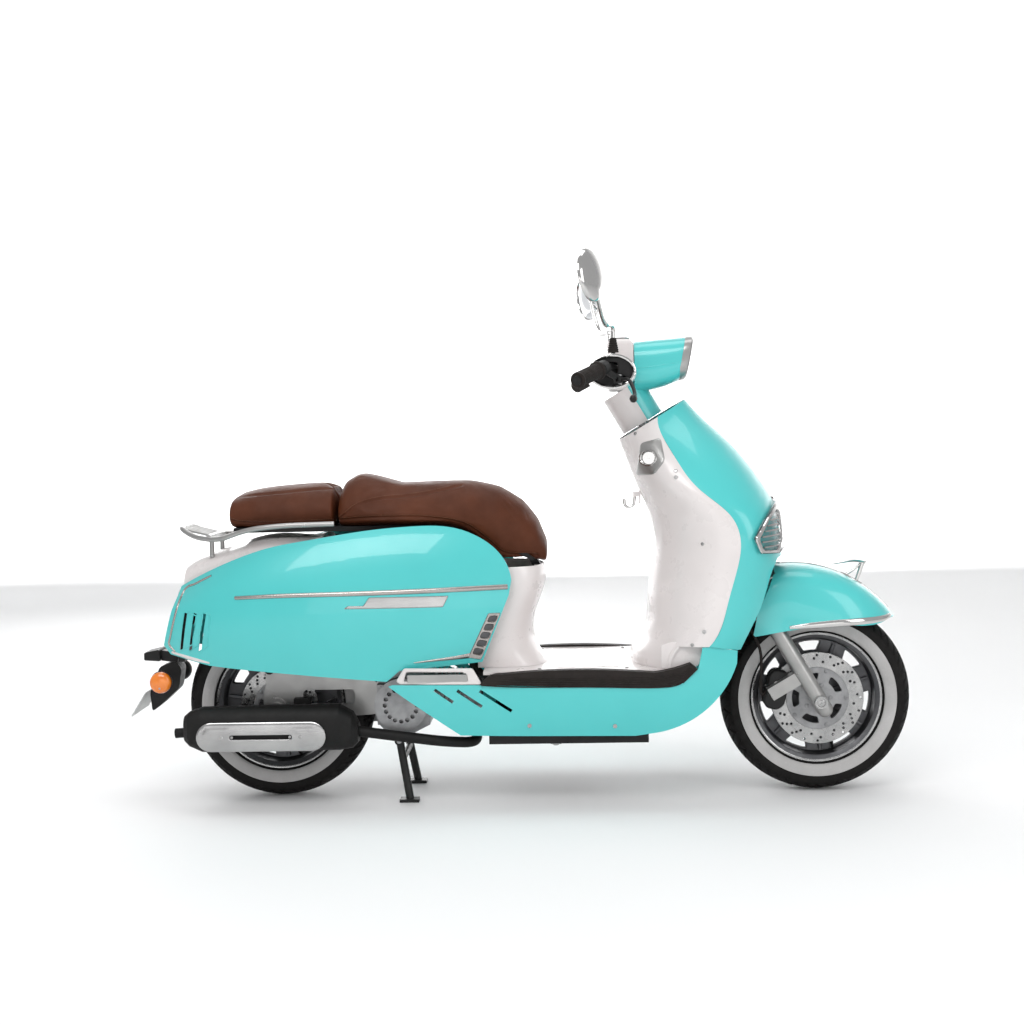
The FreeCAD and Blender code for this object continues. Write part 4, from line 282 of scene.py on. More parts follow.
def grid(rows, close_rows=False, close_columns=False, caps=False):
    """Faces between equal rows of points; caps fill the first and last row."""
    count, width = len(rows), len(rows[0])
    points = [point for row in rows for point in row]
    faces = []
    for i in range(count if close_rows else count - 1):
        for j in range(width if close_columns else width - 1):
            a, b = i * width + j, i * width + (j + 1) % width
            c, d = ((i + 1) % count) * width + (j + 1) % width, ((i + 1) % count) * width + j
            faces.append((a, b, c, d))
    if caps:
        faces.append(tuple(range(width)))
        faces.append(tuple((count - 1) * width + j for j in range(width)))
    return points, faces


def axes_for(direction):
    """Two unit vectors square to a direction."""
    ahead = Vector(direction).normalized()
    helper = Vector((0, 0, 1)) if abs(ahead.z) < 0.9 else Vector((1, 0, 0))
    first = ahead.cross(helper).normalized()
    return first, ahead.cross(first).normalized()


def around(centre, direction, along, angle, radius):
    """A point at an angle and a radius round a line, at a distance along it."""
    ahead = Vector(direction).normalized()
    first, second = axes_for(ahead)
    return Vector(centre) + ahead * along + (first * math.cos(angle) + second * math.sin(angle)) * radius


def holes_round(x, z, radius, count):
    """A circle's points about (x, z) in a plate's own plane."""
    angles = np.linspace(0, 2 * math.pi, count + 1)[:-1]
    return [(x + radius * math.cos(a), z + radius * math.sin(a)) for a in angles]


def turned(centre, direction, profile, segments=48, ripple=None):
    """A profile of (distance along, radius) turned about a direction through a centre."""
    rows = []
    for along, radius in profile:
        row = []
        for index in range(segments):
            angle = 2 * math.pi * index / segments
            wide = max(radius, 0.01) + (ripple(angle, along) if ripple else 0.0)
            row.append(around(centre, direction, along, angle, wide))
        rows.append(row)
    return grid(rows, close_columns=True, caps=True)


def smooth_path(points, steps=8, closed=False):
    """A Catmull-Rom curve through the points."""
    items = [Vector(p) for p in points]
    if closed:
        items = [items[-1]] + items + items[:2]
    else:
        items = [items[0] * 2 - items[1]] + items + [items[-1] * 2 - items[-2]]
    made = []
    for a, b, c, d in zip(items, items[1:], items[2:], items[3:]):
        for step in range(steps):
            t = step / steps
            made.append(0.5 * ((2 * b) + (c - a) * t + (2 * a - 5 * b + 4 * c - d) * t * t
                               + (3 * b - a - 3 * c + d) * t ** 3))
    if not closed:
        made.append(items[-2].copy())
    return made


def swept(path, section, closed=False, twist=None):
    """A closed section of (side, up) offsets, or a function of the share along, swept on a path."""
    rows = []
    count = len(path)
    up = None
    for index, point in enumerate(path):
        before = path[index - 1] if index or closed else path[0]
        after = path[(index + 1) % count] if index < count - 1 or closed else path[-1]
        ahead = (after - before).normalized()
        if twist is not None:
            up = Vector(twist(point) if callable(twist) else twist)
        elif up is None:
            up = axes_for(ahead)[1]
        up = (up - ahead * up.dot(ahead)).normalized()
        side = ahead.cross(up)
        share = index / max(1, count - 1)
        ring = section(share) if callable(section) else section
        rows.append([point + side * a + up * b for a, b in ring])
    return grid(rows, close_rows=closed, close_columns=True, caps=not closed)


def ring_of(radius, count=14, flat=1.0):
    return [(radius * math.cos(2 * math.pi * i / count), radius * flat * math.sin(2 * math.pi * i / count))
            for i in range(count)]


def hexagon(centre, direction, across_flats, height, washer=0.0):
    """A hexagon bolt head with a small chamfer, on an optional washer."""
    radius = across_flats / math.sqrt(3)
    steps = ((-0.5, 1.0), (height * 0.8, 1.0), (height, 0.86), (height, 0.3), (height * 0.8, 0.2))
    rows = [[around(centre, direction, along + washer, math.pi * k / 3, radius * share) for k in range(6)]
            for along, share in steps]
    parts = [grid(rows, close_columns=True, caps=True)]
    if washer:
        parts.append(turned(centre, direction, [(-0.5, radius * 1.3), (washer * 0.7, radius * 1.3),
                                                (washer, radius * 1.2), (washer, radius * 0.5)], 24))
    return join_parts(parts)


def cap_screw(centre, direction, radius, height):
    """A round-headed screw with a hexagon socket."""
    rows = []
    for along, share, sides in ((-0.5, 1.0, 0), (height * 0.55, 1.0, 0), (height * 0.88, 0.86, 0),
                                (height, 0.62, 0), (height, 0.48, 1), (height * 0.45, 0.46, 1)):
        row = []
        for k in range(24):
            angle = 2 * math.pi * k / 24
            wide = radius * share
            if sides:
                sector = (angle + math.pi / 6) % (math.pi / 3) - math.pi / 6
                wide *= math.cos(math.pi / 6) / math.cos(sector)
            row.append(around(centre, direction, along, angle, wide))
        rows.append(row)
    return grid(rows, close_columns=True, caps=True)


trees = {}


def surface_of(*names):
    """A lookup tree over the CAD nodes' meshes, in metres."""
    if names not in trees:
        points, faces = [], []
        for name in names:
            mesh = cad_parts[name].data
            start = len(points)
            points.extend([v.co.copy() for v in mesh.vertices])
            faces.extend([tuple(i + start for i in p.vertices) for p in mesh.polygons])
        trees[names] = BVHTree.FromPolygons(points, faces)
    return trees[names]


def laid_on(names, start, ahead, fallback, lift):
    """Where a ray meets the CAD surface, else its nearest point, with the normal that faces the ray."""
    tree = surface_of(*names)
    hit, normal, _, _ = tree.ray_cast(start, ahead)
    if hit is None:
        hit, normal, _, _ = tree.find_nearest(fallback)
    if normal.dot(ahead) > 0:
        normal = -normal
    return hit / MM + normal * lift, normal


def on_side(names, x, z, side, lift=0.0):
    """The point of the CAD surface seen square from one side at (x, z), lifted off it."""
    return laid_on(names, Vector((x * MM, side * 0.6, z * MM)), Vector((0, -side, 0)),
                   Vector((x * MM, side * 0.22, z * MM)), lift)


def resampled(outline, spacing):
    """Points about a spacing apart along a closed outline of (x, z) corners."""
    made = []
    for start, end in zip(outline, outline[1:] + outline[:1]):
        steps = max(1, round(math.dist(start, end) / spacing))
        for k in range(steps):
            made.append(tuple(a + (b - a) * k / steps for a, b in zip(start, end)))
    return made


def rounded(outline, radius, steps=4):
    """A closed outline of corners with each corner rounded."""
    made = []
    count = len(outline)
    for index in range(count):
        corner = Vector(outline[index])
        before = Vector(outline[index - 1]) - corner
        after = Vector(outline[(index + 1) % count]) - corner
        reach = min(radius, before.length * 0.45, after.length * 0.45)
        start, end = corner + before.normalized() * reach, corner + after.normalized() * reach
        for k in range(steps + 1):
            t = k / steps
            point = start * (1 - t) ** 2 + corner * 2 * t * (1 - t) + end * t * t
            made.append((point.x, point.y))
    return made


def edge_distance(point, loops):
    best = 1e9
    for loop in loops:
        a = np.array(loop)
        b = np.roll(a, -1, axis=0)
        d = b - a
        t = np.clip(((np.array(point) - a) * d).sum(1) / np.maximum((d * d).sum(1), 1e-9), 0, 1)
        near = a + d * t[:, None]
        best = min(best, float(np.sqrt(((near - point) ** 2).sum(1)).min()))
    return best


def inside(point, loop):
    x, y = point
    found = False
    for (ax, ay), (bx, by) in zip(loop, loop[1:] + loop[:1]):
        if (ay > y) != (by > y) and x < (bx - ax) * (y - ay) / (by - ay) + ax:
            found = not found
    return found


def plate(outline, place, height, depth=1.0, holes=(), spacing=4.0, bevel=1.5, relief=None):
    """A closed plate over a 2-D outline. place(x, z, lift) puts a point in space."""
    loops = [resampled(list(outline), spacing)] + [resampled(list(hole), spacing) for hole in holes]
    corners = [Vector(p) for loop in loops for p in loop]
    edges = []
    start = 0
    for loop in loops:
        edges += [(start + i, start + (i + 1) % len(loop)) for i in range(len(loop))]
        start += len(loop)
    lows = [min(p[i] for p in loops[0]) for i in (0, 1)]
    highs = [max(p[i] for p in loops[0]) for i in (0, 1)]

    def on_plate(spot):
        return inside(spot, loops[0]) and not any(inside(spot, loop) for loop in loops[1:])

    for row, z in enumerate(np.arange(lows[1] + spacing / 2, highs[1], spacing)):
        for x in np.arange(lows[0] + spacing / 2 * (1 + row % 2), highs[0], spacing):
            spot = (float(x), float(z))
            if on_plate(spot) and edge_distance(spot, loops) > spacing * 0.45:
                corners.append(Vector(spot))
    for loop in loops:
        for index in range(len(loop)):
            a, b = Vector(loop[index - 1]), Vector(loop[(index + 1) % len(loop)])
            along = (b - a).normalized()
            for sign in (-1, 1):
                spot = Vector(loop[index]) + Vector((-along.y, along.x)) * bevel * sign
                if on_plate(tuple(spot)) and edge_distance(tuple(spot), loops) > bevel * 0.9:
                    corners.append(spot)
    made = delaunay_2d_cdt(corners, edges, [], 0, 1e-5)
    flat = [tuple(v) for v in made[0]]
    faces = [tuple(face) for face in made[2]
             if on_plate(tuple(sum(flat[i][k] for i in face) / len(face) for k in (0, 1)))]
    tops, lowers = [], []
    for spot in flat:
        far = edge_distance(spot, loops)
        share = min(1.0, far / bevel) if bevel else 1.0
        rise = height * (0.35 + 0.65 * math.sin(share * math.pi / 2))
        if relief:
            rise += relief(spot[0], spot[1], far)
        tops.append(place(spot[0], spot[1], rise))
        lowers.append(place(spot[0], spot[1], -depth))
    count = len(flat)
    all_faces = list(faces) + [tuple(i + count for i in face[::-1]) for face in faces]
    uses = {}
    for face in faces:
        for a, b in zip(face, face[1:] + face[:1]):
            uses[(a, b)] = uses.get((a, b), 0) + 1
    for (a, b) in uses:
        if (b, a) not in uses:
            all_faces.append((b, a, a + count, b + count))
    return tops + lowers, all_faces


def side_plate(names, outline, side, height, **options):
    """A plate laid on a CAD surface seen from one side."""
    def place(x, z, lift):
        return on_side(names, x, z, side, lift)[0]
    return plate(outline, place, height, **options)


def half_round(width, height, count=9, sink=1.0):
    """A strip's section: a low arch on a flat foot."""
    arch = [(width / 2 * math.cos(math.pi * k / (count - 1)), height * math.sin(math.pi * k / (count - 1)))
            for k in range(count)]
    return arch + [(-width / 2, -sink), (width / 2, -sink)]


def side_strip(names, points, side, widths, height, steps=10):
    """A raised strip that follows a CAD surface seen from one side."""
    path2 = smooth_path([(x, 0, z) for x, z in points], steps)
    places = [on_side(names, p.x, p.z, side) for p in path2]
    normals = {}
    path = []
    for place, normal in places:
        point = Vector(place)
        point.freeze()
        normals[tuple(point)] = normal
        path.append(point)

    def section(share):
        width = np.interp(share, [k / (len(widths) - 1) for k in range(len(widths))], widths)
        return half_round(float(width), height)
    return swept(path, section, twist=lambda p: normals[tuple(p)])


# ---------------------------------------------------------------- camera, lights and floor
YAW, PITCH, ROLL = 0.04001, 0.05932, -0.02093
EYE = Vector((0.150, -4.0, 0.950))
look = Vector((-math.sin(YAW) * math.cos(PITCH), math.cos(YAW) * math.cos(PITCH), -math.sin(PITCH)))
right = Vector((math.cos(YAW), math.sin(YAW), 0))
above = right.cross(look)
right_rolled = right * math.cos(ROLL) + above * math.sin(ROLL)
above_rolled = above * math.cos(ROLL) - right * math.sin(ROLL)
camera_data = bpy.data.cameras.new("camera")
camera_data.sensor_width = 36.0
camera_data.lens = 55.75
camera = linked("camera", camera_data)
turn = Matrix((right_rolled, above_rolled, -look)).transposed().to_4x4()
camera.matrix_world = Matrix.Translation(EYE) @ turn
bpy.context.scene.camera = camera


def area_light(name, place, target, size, energy):
    data = bpy.data.lights.new(name, "AREA")
    data.shape = "RECTANGLE"
    data.size, data.size_y = size
    data.energy = energy
    ahead = (Vector(target) - Vector(place)).normalized()
    facing = ahead.to_track_quat("-Z", "Y").to_matrix().to_4x4()
    linked(name, data).matrix_world = Matrix.Translation(place) @ facing


area_light("key_soft_box", (-1.0, -3.2, 3.4), (0, 0, 0.5), (2.6, 1.6), 68)
area_light("side_soft_box", (2.8, -2.6, 1.7), (0, 0, 0.5), (1.4, 2.2), 27)
area_light("top_soft_box", (0, 0.3, 3.8), (0, 0, 0.4), (3.6, 1.6), 38)
area_light("back_soft_box", (-1.5, 3.6, 2.2), (0, 0, 0.5), (2.4, 1.8), 36)
area_light("low_fill", (0.2, -4.2, 0.5), (0, 0, 0.35), (4.0, 0.8), 12)
for wash_x in (-5.5, 0.0, 5.5):
    area_light("backdrop_wash", (wash_x, 4.6, 1.0), (wash_x, 9.0, 3.6), (4.0, 1.2), 330)

bpy.context.scene.view_settings.view_transform = "Standard"
world = bpy.data.worlds.new("studio")
bpy.context.scene.world = world
world.use_nodes = True
world.node_tree.nodes["Background"].inputs["Color"].default_value = (0.93, 0.94, 0.95, 1)
world.node_tree.nodes["Background"].inputs["Strength"].default_value = 0.58

floor_rows = []
for x in np.linspace(-14, 14, 15):
    row = [(x * 1000, y * 1000, -0.4) for y in np.linspace(-14, 5, 14)]
    for k in range(1, 9):
        angle = math.pi / 2 * k / 8
        row.append((x * 1000, 5000 + 4000 * math.sin(angle), 4000 - 4000 * math.cos(angle) - 0.4))
    row.append((x * 1000, 9000, 11000))
    floor_rows.append([Vector(p) for p in row])
floor_mesh = mesh_of("studio_floor", *grid(floor_rows))
floor_mesh.shade_smooth()
floor_mesh.materials.append(finish("studio_paper", (0.90, 0.90, 0.90), (0.885, 0.885, 0.885), 0.75, 0.03,
                                   0.6, 90, 2e-5, specular=0.2))
studio_floor = linked("studio_floor", floor_mesh)


# ---------------------------------------------------------------- finishes of the CAD nodes
NODE_FINISH = (
    (TURQUOISE, "front_shield side_skirts side_panel_right side_panel_left nacelle_front front_fender"),
    (CREAM, "inner_shield floor_panel center_body tail_cover nacelle_rear"),
    (RUBBER, "floor_rubbers left_grip throttle_grip"),
    (BLACK_PLASTIC, "belly_pan plate_holder seat_bucket seat_pan fuel_cap start_button horn_button"
                    " instrument_dial"),
    (BLACK_PAINT, "frame fuel_tank handlebar front_caliper rear_caliper center_stand shock_upper shock_lower"
                 " brake_lever_right brake_lever_left"),
    (HEAT_BLACK, "muffler"),
    (DARK_ALLOY, "front_rim rear_rim"),
    (CAST, "engine cvt_cover"),
    (SILVER, "grab_rail peg_right peg_left swing_arm fork_lowers"),
    (STEEL, "panel_screws side_stand fork_yoke front_disc shock_spring"),
    (BRUSHED, "muffler_shield"),
    (CHROME, "bag_hook key_barrel mirror_right mirror_left"),
    (TRIM, "side_trims"),
    (RED, "tail_lamp"),
    (CLEAR_GLASS, "front_lamp_unit headlamp"),
    (RUBBER_TYRE, "front_tyre rear_tyre"),
    (LEATHER, "rider_cushion pillion_cushion"),
)
for material, names in NODE_FINISH:
    for name in names.split():
        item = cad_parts[name]
        item.data.materials.clear()
        item.data.materials.append(material)
        item.data.shade_smooth()
        item.data.set_sharp_from_angle(angle=math.radians(28))


# ---------------------------------------------------------------- tyres
TREAD_PITCH, TREAD_DEPTH = 54, 4.2
CROWN_ARC = math.radians(66)


def groove(value, width, soft):
    """1 in the middle of a groove of that half width, falling to 0 over its soft edge."""
    return np.clip((width + soft - np.abs(value)) / soft, 0, 1)


def tread_depth(angle, across):
    """How deep the tread is cut at an angle round the tyre and a place across it, in mm."""
    def between(low, high, soft_low, soft_high):
        return np.clip((wide - low) / soft_low, 0, 1) * np.clip((high - wide) / soft_high, 0, 1)

    turns = angle / (2 * math.pi) * TREAD_PITCH
    side = np.where(across >= 0, 1.0, -1.0)
    wide = np.abs(across)
    lean = turns + side * 0.25 + wide * 0.030
    slant = np.abs((lean % 1.0) - 0.5)
    long_cut = groove(slant * 27.0, 1.5, 1.2) * between(9, 52, 3, 4)
    lean2 = turns * 0.5 + side * 0.2 - wide * 0.012
    slant2 = np.abs((lean2 % 1.0) - 0.5)
    cross_cut = groove(slant2 * 54.0, 1.2, 1.2) * between(24, 46, 3, 3)
    middle = groove(across, 1.1, 1.0)
    return np.maximum(np.maximum(long_cut, cross_cut), middle) * TREAD_DEPTH


PROFILE_TYRE = [(158.0, 30.5), (160.0, 36.0), (164.5, 44.0), (168.0, 48.5), (169.2, 50.8), (174.0, 53.6),
                (182.0, 56.2), (190.0, 57.6), (196.5, 58.1), (197.6, 57.0), (200.0, 57.2), (206.0, 57.4),
                (212.0, 56.4), (216.0, 54.9)]


def tyre_piece(name, body, node, centre):
    count = 972
    crown = []
    for k in range(29):
        angle = (1 - 2 * k / 28) * CROWN_ARC
        crown.append((182.6 + 54.2 * math.cos(angle) ** 0.92,
                      58.0 * math.sin(angle) / math.sin(CROWN_ARC) * 0.925))
    outer = PROFILE_TYRE + crown + [(r, -y) for r, y in PROFILE_TYRE[::-1]]
    dense = []
    for (r0, y0), (r1, y1) in zip(outer, outer[1:]):
        steps = max(1, int(math.dist((r0, y0), (r1, y1)) / 2.0))
        dense += [(r0 + (r1 - r0) * k / steps, y0 + (y1 - y0) * k / steps) for k in range(steps)]
    dense.append(outer[-1])
    inner = [(153.5, -32.0), (152.4, -34.0), (152.4, -28), (156, -26), (180, -44), (226, 0), (180, 44),
             (156, 26), (152.4, 28), (152.4, 34.0), (153.5, 32.0)]
    profile = dense + inner
    radii = np.array([p[0] for p in profile])
    across = np.array([p[1] for p in profile])
    angles = np.arange(count) * 2 * math.pi / count
    grid_angle, grid_across = np.meshgrid(angles, across, indexing="ij")
    on_tread = np.zeros(len(profile))
    on_tread[:len(dense)] = np.clip((radii[:len(dense)] - 205) / 8, 0, 1)
    depth = tread_depth(grid_angle, grid_across) * on_tread[None, :]
    radius = radii[None, :] - depth
    xs = centre.x + radius * np.cos(grid_angle)
    zs = centre.z + radius * np.sin(grid_angle)
    ys = np.broadcast_to(across[None, :], xs.shape)
    coords = np.stack([xs, ys, zs], axis=2).reshape(-1, 3) * MM
    width = len(profile)
    faces = []
    for i in range(count):
        nxt = (i + 1) % count
        for j in range(width):
            k = (j + 1) % width
            faces.append((i * width + j, i * width + k, nxt * width + k, nxt * width + j))
    mesh = bpy.data.meshes.new(name)
    mesh.from_pydata(coords.tolist(), [], faces)
    mesh.materials.append(RUBBER_TYRE)
    mesh.materials.append(WHITEWALL)
    white = [1 if j < len(dense) - 1 and 168.5 <= (radii[j] + radii[j + 1]) / 2 <= 197.0 else 0
             for j in range(width)] * count
    mesh.polygons.foreach_set("material_index", white)
    piece = finished(name, mesh, None, body, "tyre", sharp=40)
    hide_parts(node)


tyre_piece("front_tyre_treaded", "front_wheel", "front_tyre", FRONT_AXLE)
tyre_piece("rear_tyre_treaded", "rear_wheel", "rear_tyre", REAR_AXLE)


# ---------------------------------------------------------------- wheels
def arc_points(radius, start, end, count):
    return [(radius * math.cos(a), radius * math.sin(a)) for a in np.linspace(start, end, count)]


def window_loop(angle, inner, outer, half_inner, half_outer):
    ring = arc_points(outer, angle - half_outer, angle + half_outer, 7)
    ring += arc_points(inner, angle + half_inner, angle - half_inner, 5)
    return rounded(ring, 5.0, 2)


def flat_on(centre, side, y):
    """Places a plate drawn about an axle on a plane across the scooter."""
    def place(x, z, lift):
        return Vector((centre.x + x, y + side * lift, centre.z + z))
    return place


def spun(centre, section, count):
    """A closed section of (across, radius) turned about the axle."""
    rows = []
    for index in range(count):
        angle = 2 * math.pi * index / count
        rows.append([centre + Vector((r * math.cos(angle), y, r * math.sin(angle))) for y, r in section])
    return grid(rows, close_rows=True, close_columns=True)


def circle(radius, count):
    return arc_points(radius, 0, 2 * math.pi * (count - 1) / count, count)


def wheel(name, body, node, centre):
    windows = [window_loop(math.radians(95 + 360 / 7 * k), 113, 137, 0.13, 0.20) for k in range(7)]
    web = plate(circle(147.0, 72), flat_on(centre, -1, 0), 7.0, 7.0, windows + [circle(22.0, 24)], 7.0, 2.5,
                relief=lambda x, z, far: -3.0 * math.exp(-((math.hypot(x, z) - 74) / 26) ** 2))
    barrel = [(-43, 163.0), (-40, 163.4), (-38.6, 161.0), (-37.4, 156), (-34.5, 152.0), (-10, 150.0),
              (10, 150.0), (34.5, 152.0), (37.4, 156), (38.6, 161.0), (40, 163.4), (43, 163.0), (43, 160.5),
              (41.2, 158.0), (39.5, 151.5), (36, 147.0), (12, 144.0), (6, 141.0), (-6, 141.0), (-12, 144.0),
              (-36, 147.0), (-39.5, 151.5), (-41.2, 158.0), (-43, 160.5)]
    hub_profile = [(-49.5, 8.4), (-49.5, 27), (-47, 31), (-12, 35), (-6, 46), (6, 46), (12, 35), (47, 31),
                   (49.5, 27), (49.5, 8.4)]
    parts = [web, spun(centre, barrel, 120), spun(centre, hub_profile, 60)]
    for k in range(7):
        angle = math.radians(95 + 360 / 7 * (k + 0.5))
        out = Vector((math.cos(angle), 0, math.sin(angle)))
        for side in SIDES:
            rib = [centre + out * r + Vector((0, side * y, 0))
                   for r, y in ((36, 11), (60, 9), (100, 8), (138, 9.5))]
            parts.append(swept(smooth_path(rib, 6), lambda share: ring_of(6.5 - 1.5 * share, 10)))
    piece = pieces_of(parts, name, DARK_ALLOY, body, "cast_alloy")
    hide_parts(node)
    lips = []
    for side in SIDES:
        section = [(side * 43.2, 160.4), (side * 43.4, 162.4), (side * 42.6, 163.6), (side * 40.4, 163.9),
                   (side * 40.0, 163.0), (side * 41.6, 161.6), (side * 41.2, 157.6), (side * 41.9, 157.4)]
        lips.append(spun(centre, section, 144))
    pieces_of(lips, name + "_bright_lips", STEEL, body, "cast_alloy")
    low = math.radians(-72)
    out = Vector((math.cos(low), 0, math.sin(low)))
    stem = swept(smooth_path([centre + out * 146 + Vector((0, -8, 0)), centre + out * 138 + Vector((0, -14, 0)),
                              centre + out * 124 + Vector((0, -30, 0))], 6), ring_of(3.2, 12))
    cap = turned(centre + out * 126 + Vector((0, -27.5, 0)), Vector((-out.x * 2, -2.4, -out.z * 2)),
                 [(0, 4), (9, 4.2), (10.5, 3.4), (10.5, 1)], 18)
    pieces_of([stem, cap], name + "_valve", BLACK_PLASTIC, body)


wheel("front_wheel_casting", "front_wheel", "front_rim", FRONT_AXLE)


def disc(name, body, centre, radius, carrier, y):
    """A drilled disc on a bolted carrier, face-on to the right side."""
    holes = []
    for k in range(20):
        for share, lean in ((0.935, 0.0), (0.865, 0.075), (0.795, 0.15)):
            if (k + round(share * 100)) % 5 == 0:
                continue
            angle = 2 * math.pi * k / 20 + lean
            spot = (radius * share * math.cos(angle), radius * share * math.sin(angle))
            holes.append(holes_round(*spot, 3.1, 8))
    holes.append(circle(carrier - 4, 60))
    made = pieces_of([plate(circle(radius, 120), flat_on(centre, -1, y), 1.9, 1.9, holes, 5.0, 0.5)],
                     name, STEEL, body)
    slots = [window_loop(2 * math.pi * (k + 0.5) / 5, carrier * 0.60, carrier * 0.80, 0.30, 0.36)
             for k in range(5)]
    slots.append(arc_points(17, 0, 6.1, 24))
    parts = [plate(circle(carrier, 60), flat_on(centre, -1, y - 1.4), 2.2, 2.4, slots, 5.0, 1.2)]
    for k in range(5):
        angle = 2 * math.pi * k / 5
        for share, size in ((0.90, 9.0), (0.42, 11.0)):
            reach = carrier * share
            spot = centre + Vector((reach * math.cos(angle), y - 3.4, reach * math.sin(angle)))
            parts.append(cap_screw(spot, (0, -1, 0), size / 2, 3.0))
    pieces_of(parts, name + "_carrier", CAST, body)
    return made


DISC_Y = -52.3
front_disc = disc("front_brake_disc", "front_wheel", FRONT_AXLE, 115, 78, DISC_Y)
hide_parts("front_disc")
wheel("rear_wheel_casting", "rear_wheel", "rear_rim", REAR_AXLE)
disc("rear_brake_disc", "rear_wheel", REAR_AXLE, 98, 64, DISC_Y)


# ---------------------------------------------------------------- seat
def distance_to_line(points, line):
    """Each point's distance to a polyline in the same two coordinates."""
    best = np.full(len(points), 1e9)
    for a, b in zip(line, line[1:]):
        a, b = np.array(a, float), np.array(b, float)
        d = b - a
        t = np.clip(((points - a) @ d) / max(float(d @ d), 1e-9), 0, 1)
        best = np.minimum(best, np.sqrt(((a + d * t[:, None] - points) ** 2).sum(1)))
    return best


def flat_line(points, steps=10):
    return [(p.x, p.z) for p in smooth_path([(x, 0, z) for x, z in points], steps)]


def applied(piece, *modifiers):
    for modifier in modifiers:
        with bpy.context.temp_override(object=piece, active_object=piece, selected_objects=[piece]):
            bpy.ops.object.modifier_apply(modifier=modifier)


def swollen(name, node, shrink, cap, floor_z):
    """A cushion blown up from its CAD solid by a short cloth simulation."""
    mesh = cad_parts[node].data.copy()
    mesh.materials.clear()
    piece = linked(name, mesh)
    co = spots_of(mesh)
    middle = (co.max(0) + co.min(0)) / 2
    co[:, 1] *= 1 - shrink / max(abs(co[:, 1]).max(), 1e-6)
    co[:, 0] = middle[0] + (co[:, 0] - middle[0]) * (1 - shrink / (co[:, 0].max() - middle[0]) * 0.5)
    high = co[:, 2] > floor_z
    co[high, 2] -= shrink * 0.6 * np.clip((co[high, 2] - floor_z) / 0.05, 0, 1)
    mesh.vertices.foreach_set("co", co.ravel())
    remesh = piece.modifiers.new("voxels", "REMESH")
    remesh.mode = "VOXEL"
    remesh.voxel_size = 0.005
    remesh.use_smooth_shade = True
    smooth = piece.modifiers.new("even", "SMOOTH")
    smooth.factor, smooth.iterations = 0.5, 8
    bpy.context.view_layer.objects.active = piece
    applied(piece, "voxels", "even")
    rest = spots_of(piece.data)
    pins = piece.vertex_groups.new(name="pins")
    for index in np.nonzero(rest[:, 2] < floor_z)[0]:
        pins.add([int(index)], 1.0, "REPLACE")
    cloth = piece.modifiers.new("cloth", "CLOTH")
    settings = cloth.settings
    settings.quality = 5
    settings.mass = 0.3
    settings.tension_stiffness = settings.compression_stiffness = 30
    settings.bending_stiffness = 2.0
    settings.use_pressure = True
    settings.uniform_pressure_force = 4.0
    settings.effector_weights.gravity = 0.0
    settings.vertex_group_mass = "pins"
    cloth.collision_settings.use_collision = False
    cloth.point_cache.frame_start, cloth.point_cache.frame_end = 1, 20
    for step in range(1, 21):
        bpy.context.scene.frame_set(step)
        bpy.context.view_layer.update()
    graph = bpy.context.evaluated_depsgraph_get()
    blown = piece.evaluated_get(graph).to_mesh()
    now = spots_of(blown)
    piece.evaluated_get(graph).to_mesh_clear()
    piece.modifiers.clear()
    move = now - rest
    length = np.linalg.norm(move, axis=1)
    keep = cap * np.tanh(length / cap) / np.maximum(length, 1e-9)
    rest = rest + move * keep[:, None]
    piece.data.vertices.foreach_set("co", rest.ravel())
    bpy.context.scene.frame_set(1)
    fine = piece.modifiers.new("fine", "SUBSURF")
    fine.levels = fine.render_levels = 1
    applied(piece, "fine")
    return piece


def stitched(name, piece, lines, depth, width, body, node, top_lines=()):
    """Press seams into a cushion along side-view lines, and sew them with thread."""
    mesh = piece.data
    co = spots_of(mesh) / MM
    normals = np.array([v.normal for v in mesh.vertices]).reshape(-1, 3)
    press = np.zeros(len(co))
    for line, side_share in lines:
        far = distance_to_line(co[:, [0, 2]], line)
        facing = np.clip((np.abs(normals[:, 1]) - side_share) / 0.15, 0, 1)
        press = np.maximum(press, depth * np.exp(-(far / width) ** 2) * facing)
        rise = 0.35 * depth * np.exp(-((far - width * 2.6) / (width * 1.3)) ** 2) * facing
        press = press - rise * (press < depth * 0.3)
    for line, low in top_lines:
        far = distance_to_line(co[:, [0, 1]], line)
        facing = np.clip((normals[:, 2] - low) / 0.15, 0, 1)
        press = np.maximum(press, depth * np.exp(-(far / width) ** 2) * facing)
    co -= normals * press[:, None]
    mesh.vertices.foreach_set("co", (co * MM).ravel())
    mesh.update()
    mesh.shade_smooth()
    mesh.materials.clear()
    mesh.materials.append(LEATHER)
    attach(piece, body)
    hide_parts(node)
    tree = BVHTree.FromPolygons([v.co for v in mesh.vertices], [tuple(p.vertices) for p in mesh.polygons])
    parts = []
    for line, _ in lines:
        for side in SIDES:
            parts += thread_on(tree, [Vector((x, side * 300, z)) for x, z in line], Vector((0, -side, 0)),
                               width * 1.75)
    for line, _ in top_lines:
        parts += thread_on(tree, [Vector((x, y, 1000)) for x, y in line], Vector((0, 0, -1)), width * 1.75)
    pieces_of(parts, name + "_thread", LEATHER_THREAD, body)


